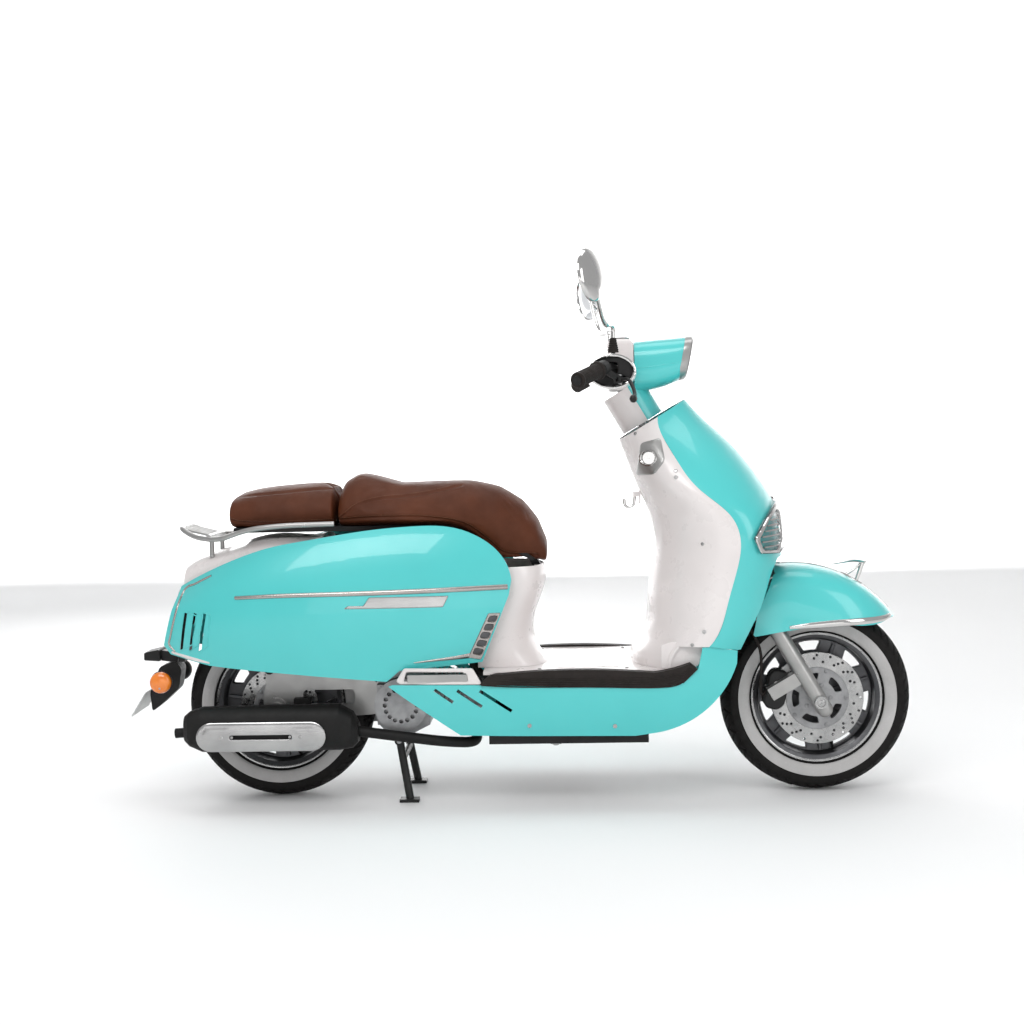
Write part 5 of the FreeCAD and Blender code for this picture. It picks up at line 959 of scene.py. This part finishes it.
def thread_on(tree, starts, ahead, offset):
    """Short stitches beside a seam, dropped onto the cushion along a direction."""
    path = []
    for a, b in zip(starts, starts[1:]):
        steps = max(1, int((b - a).length / 1.0))
        path += [a + (b - a) * k / steps for k in range(steps)]
    made = []
    travelled, last = 0.0, None
    run = []
    for index, start in enumerate(path[:-1]):
        along = (path[index + 1] - start).normalized()
        aside = along.cross(ahead).normalized() * offset
        hit, normal, _, _ = tree.ray_cast((start + aside) * MM, ahead)
        if hit is None:
            run, last = [], None
            continue
        spot = hit / MM + normal * 0.25
        if last is not None:
            travelled += (spot - last).length
        last = spot
        if travelled % 6.0 < 4.2:
            run.append(spot)
        else:
            if len(run) > 2 and (run[0] - run[-1]).length < 8:
                made.append(swept([run[0], run[len(run) // 2] + normal * 0.35, run[-1]], ring_of(0.55, 6)))
            run = []
    return made


PILLION_SEAM = flat_line([(-716, 742), (-700, 764), (-660, 770), (-580, 776), (-500, 782), (-452, 784)])
PILLION_HEM = flat_line([(-714, 716), (-680, 706), (-600, 703), (-520, 704), (-448, 706)])
RIDER_SEAM = flat_line([(-446, 700), (-410, 726), (-380, 746), (-330, 758), (-250, 764), (-180, 775),
                        (-130, 786)])
RIDER_HEM = flat_line([(-446, 706), (-360, 712), (-260, 713), (-190, 708), (-120, 692), (-64, 650), (-24, 618),
                       (54, 610)])


def tucked(piece):
    """Carry the cover's front hem down over the seat pan, onto the body."""
    mesh = piece.data
    co = spots_of(mesh) / MM
    hem = np.interp(co[:, 0], (-190, -110, -40, 20, 58, 80), (700, 680, 652, 616, 597, 591))
    drop = np.interp(co[:, 0], (-160, -120, -70, -36, 0, 20, 54), (0, 9, 29, 50, 32, 17, 0))
    co[:, 2] -= drop * np.clip((hem + 48 - co[:, 2]) / 48, 0, 1)
    mesh.vertices.foreach_set("co", (co * MM).ravel())
    mesh.update()


rider = swollen("rider_seat_leather", "rider_cushion", 0.006, 0.008, 0.6965)
tucked(rider)
stitched("rider_seat", rider, [(RIDER_SEAM, 0.15), (RIDER_HEM, 0.35)], 2.6, 3.0, "seat", "rider_cushion")
pillion = swollen("pillion_seat_leather", "pillion_cushion", 0.006, 0.008, 0.6965)
stitched("pillion_seat", pillion, [(PILLION_SEAM, 0.15), (PILLION_HEM, 0.45)], 2.4, 2.8, "seat",
         "pillion_cushion", [([(-700, 0), (-452, 0)], 0.6)])


# ---------------------------------------------------------------- side panels
STRIP_LINE = [(-684, 525), (-560, 530.5), (-400, 533.5), (-240, 536.5), (-110, 539), (-19, 540)]
VENT_LINE = [(-248, 362), (-200, 366.5), (-150, 371), (-112, 375)]
VENT_BLOCK = [(-118, 370), (-66, 478), (-36, 478), (-86, 364)]
for side in SIDES:
    word = SIDE_NAMES[side]
    panel = ("side_panel_" + word,)
    strip = side_strip(panel, STRIP_LINE, side, (9, 11, 12, 12.5, 13, 13), 4.2)
    vent_arm = side_strip(panel, VENT_LINE, side, (2.5, 6, 9, 13), 2.4)
    made = pieces_of([strip, vent_arm], "side_strip_" + word, TRIM, "chassis")
    if side < 0:
        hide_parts("side_trims")
    badge = rounded([(-414, 497), (-404, 504), (-366, 504), (-352, 524), (-160, 524), (-174, 497)], 3)
    laid = side_plate(panel, badge, side, 2.4, spacing=5, bevel=1.6)
    piece_of(laid, "badge_plate_" + word, BRUSHED, "chassis")
    cells = []
    for k in range(5):
        low, high = 0.10 + 0.178 * k, 0.10 + 0.178 * k + 0.122
        left = [(-118 + 52 * s + 7, 370 + 108 * s) for s in (low, high)]
        right_edge = [(-86 + 50 * s - 5, 364 + 114 * s) for s in (low, high)]
        cells.append(rounded([left[0], left[1], right_edge[1], right_edge[0]], 4.5, 3))
    laid = side_plate(panel, rounded(VENT_BLOCK, 4), side, 3.4, holes=cells, spacing=4, bevel=1.6)
    piece_of(laid, "vent_grille_" + word, TRIM, "chassis")
    backs = [side_plate(panel, cell, side, 1.0, spacing=4, bevel=1.5) for cell in cells]
    pieces_of(backs, "vent_cells_" + word, DARK_ALLOY, "chassis", "black_plastic")
    lips = []
    for x in (-838, -812, -786):
        slot_line = [(x + 2, 390), (x + 4, 396), (x + 19, 480), (x + 24, 486), (x + 31, 488)]
        lips.append(side_strip(panel, slot_line, side, (2, 3.2, 3.2, 2), 1.3, steps=6))
    pieces_of(lips, "louvre_lips_" + word, TURQUOISE, "chassis")
    hem = side_strip(panel, [(-862, 384), (-820, 374), (-790, 368), (-758, 362)], side, (6, 9, 8, 4), 2.4)
    piece_of(hem, "panel_hem_" + word, CREAM, "chassis")
    edge_line = [(-852, 386), (-868, 404), (-863, 424), (-847, 478), (-828, 538), (-796, 555), (-752, 576)]
    edge = side_strip(panel, edge_line, side, (5, 6, 6, 6, 6, 6, 5), 3.0)
    piece_of(edge, "tail_edge_" + word, TRIM, "chassis")


# ---------------------------------------------------------------- skirts, pegs and floor
PEG_FRAME = rounded([(-292, 318), (-272, 350), (-104, 350), (-82, 311), (-282, 311)], 5)
PEG_WELL = rounded([(-272, 318), (-266, 341), (-128, 341), (-118, 336), (-116, 318)], 4)
for side in SIDES:
    word = SIDE_NAMES[side]
    def frame_place(x, z, lift, side=side):
        half = 222 * float(np.interp(x, (-340, -200, -50), (0.88, 0.96, 1.0)))
        return Vector((x, side * (half + 1.0 + lift), z))
    laid = plate(PEG_FRAME, frame_place, 3.0, 3.0, [PEG_WELL], 5, 1.6)
    piece_of(laid, "peg_surround_" + word, CREAM, "chassis")
    ribs = []
    for k in range(5):
        z = 301.5 + 5.2 * k
        line = [(-84 + 9 * k * 0.6, 226.6 - k * 0.9, z + 8 + k), (0, 227.3, z + 3), (180, 227.3, z + 0.4),
                (330, 227.3, z - 3.0 + k * 0.7), (388, 227.2, z + 3 + k * 1.6), (416 + 2 * k, 226.8, z + 26)]
        ribs.append(swept(smooth_path([(x, side * y, z) for x, y, z in line], 10),
                          [(1.5 * math.cos(t), 1.2 * math.sin(t)) for t in np.linspace(0, 2 * math.pi, 9)[:-1]],
                          twist=(0, side, 0)))
    pieces_of(ribs, "rubber_ribs_" + word, RUBBER, "chassis")
seams = []
for x in (84, 262):
    seams.append(swept([Vector((x, y, 338.2)) for y in np.linspace(-196, 196, 20)],
                       half_round(2.4, 0.7, 7, 0.8), twist=(0, 0, 1)))
pieces_of(seams, "floor_joint_beads", CREAM, "chassis")


# ---------------------------------------------------------------- front fender
FENDER = ("front_fender",)
hem_points = [(668, 424), (720, 429), (780, 433.5), (840, 436), (900, 438), (926, 442)]
for side in SIDES:
    band_part = side_strip(FENDER, hem_points, side, (9, 15, 17, 17, 15, 10), 3.4, steps=12)
    piece_of(band_part, "fender_edge_" + SIDE_NAMES[side], CHROME, "steering")


def crest(x, y=0.0, lift=0.0):
    """The fender's top surface above a point."""
    over, inner = Vector((x * MM, y * MM, 0.9)), Vector((x * MM, y * MM, 0.5))
    return laid_on(FENDER, over, Vector((0, 0, -1)), inner, lift)


ridge = [crest(x)[0] for x in np.linspace(640, 930, 30)]
ridge_part = swept(ridge, lambda s: half_round(3 + 9 * math.sin(math.pi * min(1, s * 1.3 + 0.05)) ** 0.6, 2.6),
                   twist=(0.3, 0, 1))
piece_of(ridge_part, "fender_spear", CHROME, "steering")
foot_low, _ = crest(858)
foot_high, _ = crest(826)
wing_rows = []
for share in np.linspace(0, 1, 22):
    x = 876 - 84 * share
    z = 571 - 5 * share + 3 * math.sin(share * math.pi)
    wide = 4 + 19 * math.sin(min(1.0, share * 1.15 + 0.08) * math.pi) ** 0.7
    thick = 3.4 - 1.6 * share
    row = []
    for k in range(16):
        a = 2 * math.pi * k / 16
        row.append(Vector((x, wide * math.cos(a), z + thick * math.sin(a) + 0.012 * (wide * math.cos(a)) ** 2)))
    wing_rows.append(row)
leg_rows = []
for share in np.linspace(0, 1, 10):
    a = Vector((868, 0, 568)) * (1 - share) + Vector((850, 0, foot_low.z)) * share
    leg_rows.append([a + Vector((7 * math.cos(t) * (1 - 0.3 * share), 5.0 * math.sin(t), 0))
                     for t in np.linspace(0, 2 * math.pi, 13)[:-1]])
brace = swept(smooth_path([(862, 0, 566), (846, 0, 552), (826, 0, foot_high.z + 2)], 8), ring_of(3.4, 12))
shoe = swept([crest(x, 0, 0.5)[0] for x in np.linspace(812, 864, 14)],
             lambda s: half_round(5 + 13 * math.sin(math.pi * s), 3.4), twist=(0.3, 0, 1))
pieces_of([grid(wing_rows, close_columns=True, caps=True), grid(leg_rows, close_columns=True, caps=True), brace,
           shoe], "fender_wing_ornament", CHROME, "steering")


# ---------------------------------------------------------------- front lamps
SHIELD = ("front_shield", "front_lamp_unit")
for side in SIDES:
    word = SIDE_NAMES[side]
    outline = rounded([(573, 653), (588, 616), (636, 612), (652, 640), (650, 712), (642, 731), (606, 699)], 6)
    inner = rounded([(585, 650), (595, 624), (631, 620), (642, 642), (641, 706), (636, 715), (611, 692)], 5)
    laid = side_plate(SHIELD, outline, side, 4.0, holes=[inner], spacing=5, bevel=2.0, depth=3.0)
    piece_of(laid, "lamp_bezel_" + word, CHROME, "chassis")
    rows = []
    for k in range(6):
        z = 630 + 12.5 * k
        low_x = float(np.interp(z, (620, 650, 692, 715), (597, 586, 611, 634)))
        line = [(low_x + 3, z), ((low_x + 640) / 2, z + 1), (637, z + 2)]
        rows.append(side_strip(SHIELD, line, side, (4, 5, 4), 2.0, steps=6))
    pieces_of(rows, "lamp_bars_" + word, SILVER, "chassis")


# ---------------------------------------------------------------- muffler
def stadium(x0, x1, z, half):
    return [(x + half * math.cos(a), z + half * math.sin(a)) for x, start in ((x1, -0.5), (x0, 0.5))
            for a in np.linspace(start * math.pi, (start + 1) * math.pi, 12)]


low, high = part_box("muffler_shield")
shield_low, shield_high = low / MM, high / MM
mid_z = (shield_low.z + shield_high.z) / 2
half_z = (shield_high.z - shield_low.z) / 2
x0, x1 = shield_low.x + half_z, shield_high.x - half_z
face_y = shield_low.y


def shield_place(x, z, lift):
    crown = 3.5 * (1 - ((z - mid_z) / half_z) ** 2)
    return Vector((x, face_y + 3.0 - crown - lift + 2.0, z))


slot_hole = stadium(x0 + 52, x1 - 52, mid_z, 5.5)
laid = plate(stadium(x0, x1, mid_z, half_z), shield_place, 2.0, 5.0, [slot_hole], 6, 3.0,
                      relief=lambda x, z, far: -1.2 * math.exp(-((far - 9) / 2.2) ** 2))
shield_piece = piece_of(laid, "muffler_heat_shield", BRUSHED, "swing_unit", "steel")
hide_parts("muffler_shield")
bolts = []
for x in (x0 + 26, x1 - 26):
    bolts.append(hexagon((x, face_y + 1.0, mid_z), (0, -1, 0), 9, 2.6, 1.0))
for x in (x0 + 52, x1 - 52):
    bolts.append(cap_screw((x, face_y + 1.6, mid_z), (0, -1, 0), 3.6, 2.0))
pieces_of(bolts, "heat_shield_bolts", STEEL, "swing_unit")


# ---------------------------------------------------------------- handlebar
POD_X, POD_Z, POD_Y = 244, 1056, 186
MIRROR_TOE = math.radians(27)


def bar_end(side):
    corner = Vector((224, side * 218, 1064))
    tip = Vector((159, side * 350, 1032))
    return corner, (tip - corner).normalized()


def oval_ring(half_x, half_z, count=48):
    return [(half_x * math.cos(2 * math.pi * k / count), half_z * math.sin(2 * math.pi * k / count))
            for k in range(count)]


for side in SIDES:
    word = SIDE_NAMES[side]
    corner, outward = bar_end(side)
    start = corner + outward * 34
    profile = [(0, 11.3), (0, 21.5), (1.5, 22.4), (5.5, 22.4), (7.2, 21.0), (8.5, 18.2)]
    for k in range(16):
        base = 12 + 5.9 * k
        profile += [(base, 17.6), (base + 0.9, 18.3), (base + 3.6, 18.3), (base + 4.5, 17.6)]
    profile += [(108, 18.2), (111.5, 18.6), (113.5, 17.4), (113.6, 11.3)]

    def flutes(angle, along):
        return 0.35 * math.cos(18 * angle) if 10 < along < 106 else 0.0
    grip = piece_of(turned(start, outward, profile, 72, flutes), "ribbed_grip_" + word, RUBBER,
                    "throttle_grip" if side < 0 else "steering")
    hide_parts("throttle_grip" if side < 0 else "left_grip")
    tip_at = Vector((159, side * 350, 1032))
    cap_profile = [(-1.5, 9.0), (-1.0, 10.9), (-0.1, 10.9), (-0.1, 4)]
    pieces_of([turned(tip_at, outward, cap_profile, 40)], "bar_end_" + word, CHROME, "steering")

    def pod_place(x, z, lift, side=side):
        return Vector((POD_X + x, side * (POD_Y + lift), POD_Z + z))
    laid = plate(oval_ring(57.4, 42.4), pod_place, 2.4, 1.5, [oval_ring(50, 35.5)], 6, 2.4)
    piece_of(laid, "pod_bezel_" + word, CHROME, "steering")
    wells = [rounded([(-34, -8), (-34, 22), (14, 22), (14, -8)], 8),
             rounded([(3, -30), (3, -10), (34, -10), (34, -30)], 6)]
    laid = plate(oval_ring(51.4, 36.6), lambda x, z, lift: pod_place(x, z, lift - 7), 1.0, 2.0, wells, 6, 1.0)
    piece_of(laid, "pod_well_" + word, BLACK_PLASTIC, "steering")
    boot_at = Vector((248, side * 158, 1102))
    bellows = [(-0.2, 6.2), (-0.2, 13.2), (2, 13.6)]
    for k in range(5):
        base, wide = 4 + 5.2 * k, 13.0 - 0.95 * k
        bellows += [(base, wide - 1.1), (base + 1.6, wide), (base + 3.6, wide), (base + 5.0, wide - 1.3)]
    bellows += [(31, 8.4), (34, 7.6), (35.5, 5.6)]
    pieces_of([turned(boot_at, (0, 0, 1), bellows, 40)], "mirror_boot_" + word, RUBBER, "mirror_" + word)
    centre = Vector((196, side * 352, 1272))
    stem = smooth_path([boot_at + Vector((0, 0, 28)), boot_at + Vector((-2, side * 5, 62)),
                        Vector((226, side * 232, 1170)), Vector((212, side * 294, 1216)),
                        Vector((205, side * 326, 1254)), Vector((203, side * 336, 1266))], 10)
    stem_part = swept(stem, lambda s: ring_of(6.4 - 1.8 * s + 2.6 * math.exp(-((s - 0.36) / 0.05) ** 2), 18))
    face = Vector((-math.cos(MIRROR_TOE), -side * math.sin(MIRROR_TOE), -0.12)).normalized()
    shell_profile = [(19.6, 0.5), (19.2, 12), (17.0, 27), (12.6, 41), (6.0, 54), (2.2, 59.5), (-1.5, 61.8),
                     (-4.2, 61.9), (-5.0, 60.6), (-4.6, 58.8), (-2.6, 57.6)]
    shell = turned(centre, -face, shell_profile, 72)
    knuckle = turned(centre - face * 8 + Vector((2, side * -14, -8)), Vector((0.4, side * -1, -0.8)),
                     [(-6, 4), (-4, 9.5), (10, 9.5), (16, 7.5), (18, 5)], 28)
    made = pieces_of([stem_part, shell, knuckle], "mirror_shell_" + word, CHROME, "mirror_" + word)
    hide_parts("mirror_" + word)
    glass = turned(centre, -face, [(-3.6, 0.5), (-3.6, 30), (-3.5, 56.8), (-3.0, 57.6), (-2.0, 57.6)], 72)
    piece_of(glass, "mirror_glass_" + word, MIRROR_GLASS, "mirror_" + word)
    switch = turned((187, side * 128, 1052), (-1, 0, 0),
                    [(-2, 6), (-2, 11.5), (1.0, 11.5), (2.0, 10.4), (2.0, 7.4)], 40)
    piece_of(switch, "button_ring_" + word, CHROME, "steering")
    lever_pin = Vector((262, side * 207, 1036))
    pin_cap = cap_screw(lever_pin + Vector((0, 0, 9)), (0, 0, 1), 4.6, 2.4)
    nut = hexagon(lever_pin - Vector((0, 0, 9)), (0, 0, -1), 8, 3.0)
    pieces_of([pin_cap, nut], "lever_pivot_bolt_" + word, STEEL, "steering")
    ball = turned(Vector((288, side * 338, 988)), Vector((-6, side * 46, -8)),
                  [(-14, 4.7), (-12, 5.6), (-7, 8.4), (0, 9.3), (6, 7.6), (9.2, 3.0)], 32)
    piece_of(ball, "lever_ball_" + word, BLACK_PAINT, "brake_lever_" + word)


# ---------------------------------------------------------------- headlamp: bezel, reflector and bulb
def lamp_ring(half_y, half_z, x, mid, lean=0.2, count=64):
    ring = []
    for k in range(count):
        angle = 2 * math.pi * k / count
        c, s = math.cos(angle), math.sin(angle)
        z = half_z * math.copysign(abs(s) ** 0.62, s)
        ring.append(Vector((x + lean * z, half_y * math.copysign(abs(c) ** 0.62, c), mid + z)))
    return ring


LAMP_Z = 1088
BEZEL = ((86.6, 54.6, 418, 0), (87.4, 55.4, 426, 0.5), (86.4, 54.6, 435, 1), (82.0, 51, 439, 1),
         (76.0, 45.5, 437, 0.5), (72.4, 42.0, 430, 0.2), (71.6, 41.2, 421, 0), (78, 48, 419, 0))
bezel_rows = [lamp_ring(half_y, half_z, x, LAMP_Z + rise) for half_y, half_z, x, rise in BEZEL]
pieces_of([grid(bezel_rows, close_rows=True, close_columns=True)], "headlamp_bezel", SILVER, "steering")
bowl = []
for depth, share in ((0, 1.0), (-10, 0.9), (-26, 0.72), (-40, 0.5), (-48, 0.24), (-49, 0.08)):
    bowl.append(lamp_ring(69.5 * share, 39.5 * share, 412 + depth, LAMP_Z))
bowl += [[p + Vector((-1.5, 0, 0)) for p in ring] for ring in bowl[::-1]]
pieces_of([grid(bowl, close_rows=True, close_columns=True)], "headlamp_reflector", CHROME, "steering")
bulb = turned((362, 0, LAMP_Z), (1, 0, 0),
              [(0, 9), (6, 11), (9, 11), (12, 6), (16, 8), (24, 9.5), (32, 7), (36, 2)], 32)
piece_of(bulb, "headlamp_bulb", CLEAR_GLASS, "steering")
flutes_rows = []
for k in range(9):
    y = -56 + 14 * k
    flutes_rows.append(swept([Vector((431.5 + 0.2 * dz, y, LAMP_Z + dz)) for dz in np.linspace(-29, 27, 10)],
                             ring_of(1.2, 8)))
pieces_of(flutes_rows, "headlamp_flutes", CLEAR_GLASS, "steering")
ridge_seam = []
for side in SIDES:
    ridge_seam.append(side_strip(("nacelle_front",), [(304, 1066), (340, 1068), (385, 1074), (420, 1080)], side,
                                 (1.5, 2.2, 2.2, 1.5), 0.8))
pieces_of(ridge_seam, "housing_crease", TURQUOISE, "steering")

# instrument dial
DIAL = Vector((268, 0, 1142))
ring_part = turned(DIAL, (0, 0, 1), [(-9, 25.6), (-1, 25.9), (1.0, 26.2), (2.6, 25.4), (2.9, 23.8), (1.6, 22.6),
                                     (-0.2, 22.2)], 72)
piece_of(ring_part, "dial_bezel", CHROME, "steering")
face_part = turned(DIAL, (0, 0, 1), [(-1.5, 22.9), (0.25, 22.9), (0.35, 10)], 64)
piece_of(face_part, "dial_face", DIAL_WHITE, "steering", "black_plastic")
marks = []
for k in range(25):
    angle = math.radians(225 - 270 * k / 24)
    out = Vector((math.sin(angle), -math.cos(angle), 0))
    long_mark = k % 4 == 0
    start, half = (15.6, 0.45) if long_mark else (17.8, 0.25)
    path = [DIAL + out * reach + Vector((0, 0, 0.4)) for reach in (start, 21.2)]
    marks.append(swept(path, [(half, 0), (0, 0.22), (-half, 0)], twist=(0, 0, 1)))
needle_turn = math.radians(225)
out = Vector((math.sin(needle_turn), -math.cos(needle_turn), 0))
marks.append(swept([DIAL - out * 4 + Vector((0, 0, 1.3)), DIAL + out * 17 + Vector((0, 0, 1.3))],
                   lambda s: [(1.0 - 0.8 * s, 0), (0, 0.5), (-1.0 + 0.8 * s, 0)], twist=(0, 0, 1)))
marks.append(turned(DIAL, (0, 0, 1), [(0, 3.0), (1.9, 2.8), (2.2, 1.5)], 24))
pieces_of(marks, "dial_marks", BLACK_PLASTIC, "steering")

# key surround on the knee panel
KNEE = ("inner_shield",)
key_low, key_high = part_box("key_barrel")
key_x = (key_low.x + key_high.x) / 2 / MM
key_z = (key_low.z + key_high.z) / 2 / MM
KEY_FRAME = rounded([(key_x - 29, key_z - 44), (key_x - 18, key_z + 36), (key_x + 30, key_z + 48),
                     (key_x + 38, key_z - 6), (key_x + 12, key_z - 40)], 9)
hole = holes_round(key_x, key_z, 16.5, 32)
laid = side_plate(KNEE, KEY_FRAME, -1, 2.2, holes=[hole], spacing=5, bevel=3.0)
piece_of(laid, "key_surround", SILVER, "chassis")
ring_hole, ring_out = holes_round(key_x, key_z, 15.6, 32), holes_round(key_x, key_z, 20.5, 48)
laid = side_plate(KNEE, ring_out, -1, 4.4, holes=[ring_hole], spacing=4, bevel=1.6)
piece_of(laid, "key_ring", CHROME, "chassis")
knee_screws = []
for side in SIDES:
    for x, z in ((392, 815), (452, 640), (424, 398), (300, 905)):
        spot, normal = on_side(KNEE, x, z, side, 0.2)
        knee_screws.append(cap_screw(spot, normal, 4.4, 2.0))
pieces_of(knee_screws, "knee_panel_screws", STEEL, "chassis")


# ---------------------------------------------------------------- fork, caliper and hoses
fork_bits = []
for side in SIDES:
    y = side * 95
    seal = [(-2, 19), (-2, 23.6), (1.4, 23.8), (3.0, 22.6), (4.6, 18.6), (6.0, 16.2), (6.0, 15.4)]
    fork_bits.append(turned(forked(0, 227, y), FORK_W, seal, 48))
pieces_of(fork_bits, "fork_dust_seals", RUBBER, "fork_lowers")
nuts = []
for side in SIDES:
    at = FRONT_AXLE + Vector((0, side * 121, 0))
    collar = [(-1, 12), (-0.5, 16.6), (2.4, 16.6), (3.6, 15.4), (3.6, 10.5), (2.0, 9.6)]
    nuts.append(turned(at, (0, side, 0), collar, 48))
    nuts.append(hexagon(at, (0, side, 0), 15, 3.4))
pieces_of(nuts, "front_axle_nuts", STEEL, "fork_lowers")
lean = math.radians(-46 - 30.4)
clamp_out = Vector((math.sin(lean), 0, math.cos(lean)))
clamp_along = Vector((math.cos(lean), 0, -math.sin(lean)))
clamp_at = FRONT_AXLE + clamp_out * (115 + 12 - 19)


def clamp_spot(along, out, y):
    """A point in the caliper's own frame."""
    return clamp_at + clamp_along * along + clamp_out * out + Vector((0, y, 0))


bits = [cap_screw(clamp_spot(offset, height, -72.3), (0, -1, 0), 4.2, 3.2)
        for offset in (-29, 29) for height in (-10, 11)]
for offset in (-14.4, 14.4):
    bits.append(turned(clamp_spot(offset, 2, -78.2), (0, -1, 0),
                       [(-0.5, 5), (-0.4, 7.6), (1.0, 7.6), (1.6, 6.8), (1.6, 3)], 30))
bits.append(turned(clamp_spot(4, 17, -60), clamp_out, [(0, 3.5), (4, 3.5), (5, 2.4), (9, 2.4), (10, 1.6)], 18))
pieces_of(bits, "caliper_bolts", STEEL, "fork_lowers")
hose_path = [clamp_spot(-6, 18, -66), clamp_spot(-14, 34, -72),
             forked(-62, 176, -82), forked(-52, 250, -80), forked(-44, 330, -72), forked(-36, 372, -60)]
mesh = mesh_of("front_brake_hose", *swept(smooth_path(hose_path, 10), ring_of(3.6, 12)))
mesh.shade_smooth()
mesh.materials.append(RUBBER)
brake_hose = linked("front_brake_hose", mesh)
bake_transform(brake_hose)


# ---------------------------------------------------------------- indicators and rear plate
ARM_SHAPE = rounded([(-941, 268), (-936, 222), (-908, 243), (-866, 281), (-858, 330), (-874, 352),
                     (-914, 336)], 8)


def arm_place(x, z, lift):
    return Vector((x, lift, z))


arm_parts = [plate(ARM_SHAPE, arm_place, 34.0, 34.0, (), 7, 4.0)]
lamp_shape = rounded([(-950, 355), (-950, 374), (-912, 382), (-908, 352)], 4)
arm_parts.append(plate(lamp_shape, arm_place, 46.0, 46.0, (), 7, 3.0))
bracket = rounded([(-912, 352), (-910, 378), (-868, 372), (-868, 346)], 4)
arm_parts.append(plate(bracket, arm_place, 30.0, 30.0, (), 7, 3.0))
for side in SIDES:
    stalk = [(-893, side * 28, 306), (-893, side * 60, 307), (-893, side * 90, 308)]
    arm_parts.append(swept(smooth_path(stalk, 6),
                           lambda share: ring_of(8.5 - 1.5 * math.sin(share * math.pi), 20)))
    shell = [(-14, 6), (-13, 15), (-8, 23), (0, 27), (6, 28), (7, 27.4), (7, 20)]
    arm_parts.append(turned((-893, side * 97, 308), (0, side, 0), shell, 56))
made = pieces_of(arm_parts, "number_plate_arm", BLACK_PLASTIC, "chassis")
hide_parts("plate_holder")
for side in SIDES:
    word = SIDE_NAMES[side]
    centre = Vector((-893, side * 112, 308))
    lens = turned(centre, (0, side, 0),
                  [(-13, 18), (-13, 26.3), (0, 26.6), (3, 25.4), (6.5, 21.5), (9, 14), (10, 4)], 56)
    piece_of(lens, "indicator_lens_" + word, AMBER, "chassis")
    screw_at = centre + Vector((0, side * 8.6, -13))
    pieces_of([cap_screw(screw_at, (0, side, -0.35), 2.6, 1.4)], "indicator_screw_" + word, STEEL, "chassis")
PLATE_UP, PLATE_OUT = Vector((0.534, 0, 0.845)), Vector((-0.845, 0, 0.534))


def plate_spot(across, up, lift):
    """A place on the number plate's rear face."""
    return Vector((-978.2, across, 216)) + PLATE_UP * up + PLATE_OUT * (lift + 0.6)


bolt_holes = [holes_round(y, 62, 3.2, 12) for y in (-44, 44)]
laid = plate(rounded([(-82, 2), (-82, 74), (82, 74), (82, 2)], 7), plate_spot, 1.0, 1.2, bolt_holes, 6, 0.6)
piece_of(laid, "blank_number_plate", PLATE_WHITE, "chassis")
plate_bolts = [cap_screw(plate_spot(y, 62, 0.4), PLATE_OUT, 4.6, 2.2) for y in (-44, 44)]
pieces_of(plate_bolts, "number_plate_bolts", STEEL, "chassis")


# ---------------------------------------------------------------- toe board cheeks and floor screws
CHEEK = rounded([(350, 339), (350, 396), (376, 404), (474, 404), (474, 388), (450, 366), (440, 346),
                 (430, 339)], 5)
for side in SIDES:
    def cheek_place(x, z, lift, side=side):
        return Vector((x, side * (196.5 - 5.0 * math.sin((x - 350) / 124 * math.pi) + lift), z))
    laid = plate(CHEEK, cheek_place, 1.5, 1.5, (), 6, 1.0)
    piece_of(laid, "toe_board_cheek_" + SIDE_NAMES[side], CREAM, "chassis")
floor_screws = [cap_screw((x, side * 168, 338.2), (0, 0, 1), 5.0, 1.8) for x in (56, 268) for side in SIDES]
pieces_of(floor_screws, "floor_screws", STEEL, "chassis")


# ---------------------------------------------------------------- front caliper housing
def clamp_place(level):
    def place(along, out, lift):
        return clamp_spot(along, out, level - lift)
    return place


CLAMP_SHAPE = rounded([(-50, -16), (-50, 12), (-36, 24), (36, 24), (50, 12), (50, -16), (34, -30),
                       (-34, -30)], 9)
housing = [plate(CLAMP_SHAPE, clamp_place(-65), 10.0, 8.0, (), 5, 4.0,
                 relief=lambda x, z, far: 3.0 * math.exp(-((abs(x) - 20) ** 2 + (z + 2) ** 2) / 200))]
housing.append(plate(CLAMP_SHAPE, clamp_place(-41), 6.0, 8.0, (), 6, 3.0))
bridge_shape = rounded([(-34, 8), (-34, 23), (34, 23), (34, 8)], 4)
housing.append(plate(bridge_shape, clamp_place(-52), 16.0, 16.0, (), 6, 2.0))
made = pieces_of(housing, "front_caliper_housing", BLACK_PAINT, "fork_lowers")
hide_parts("front_caliper")
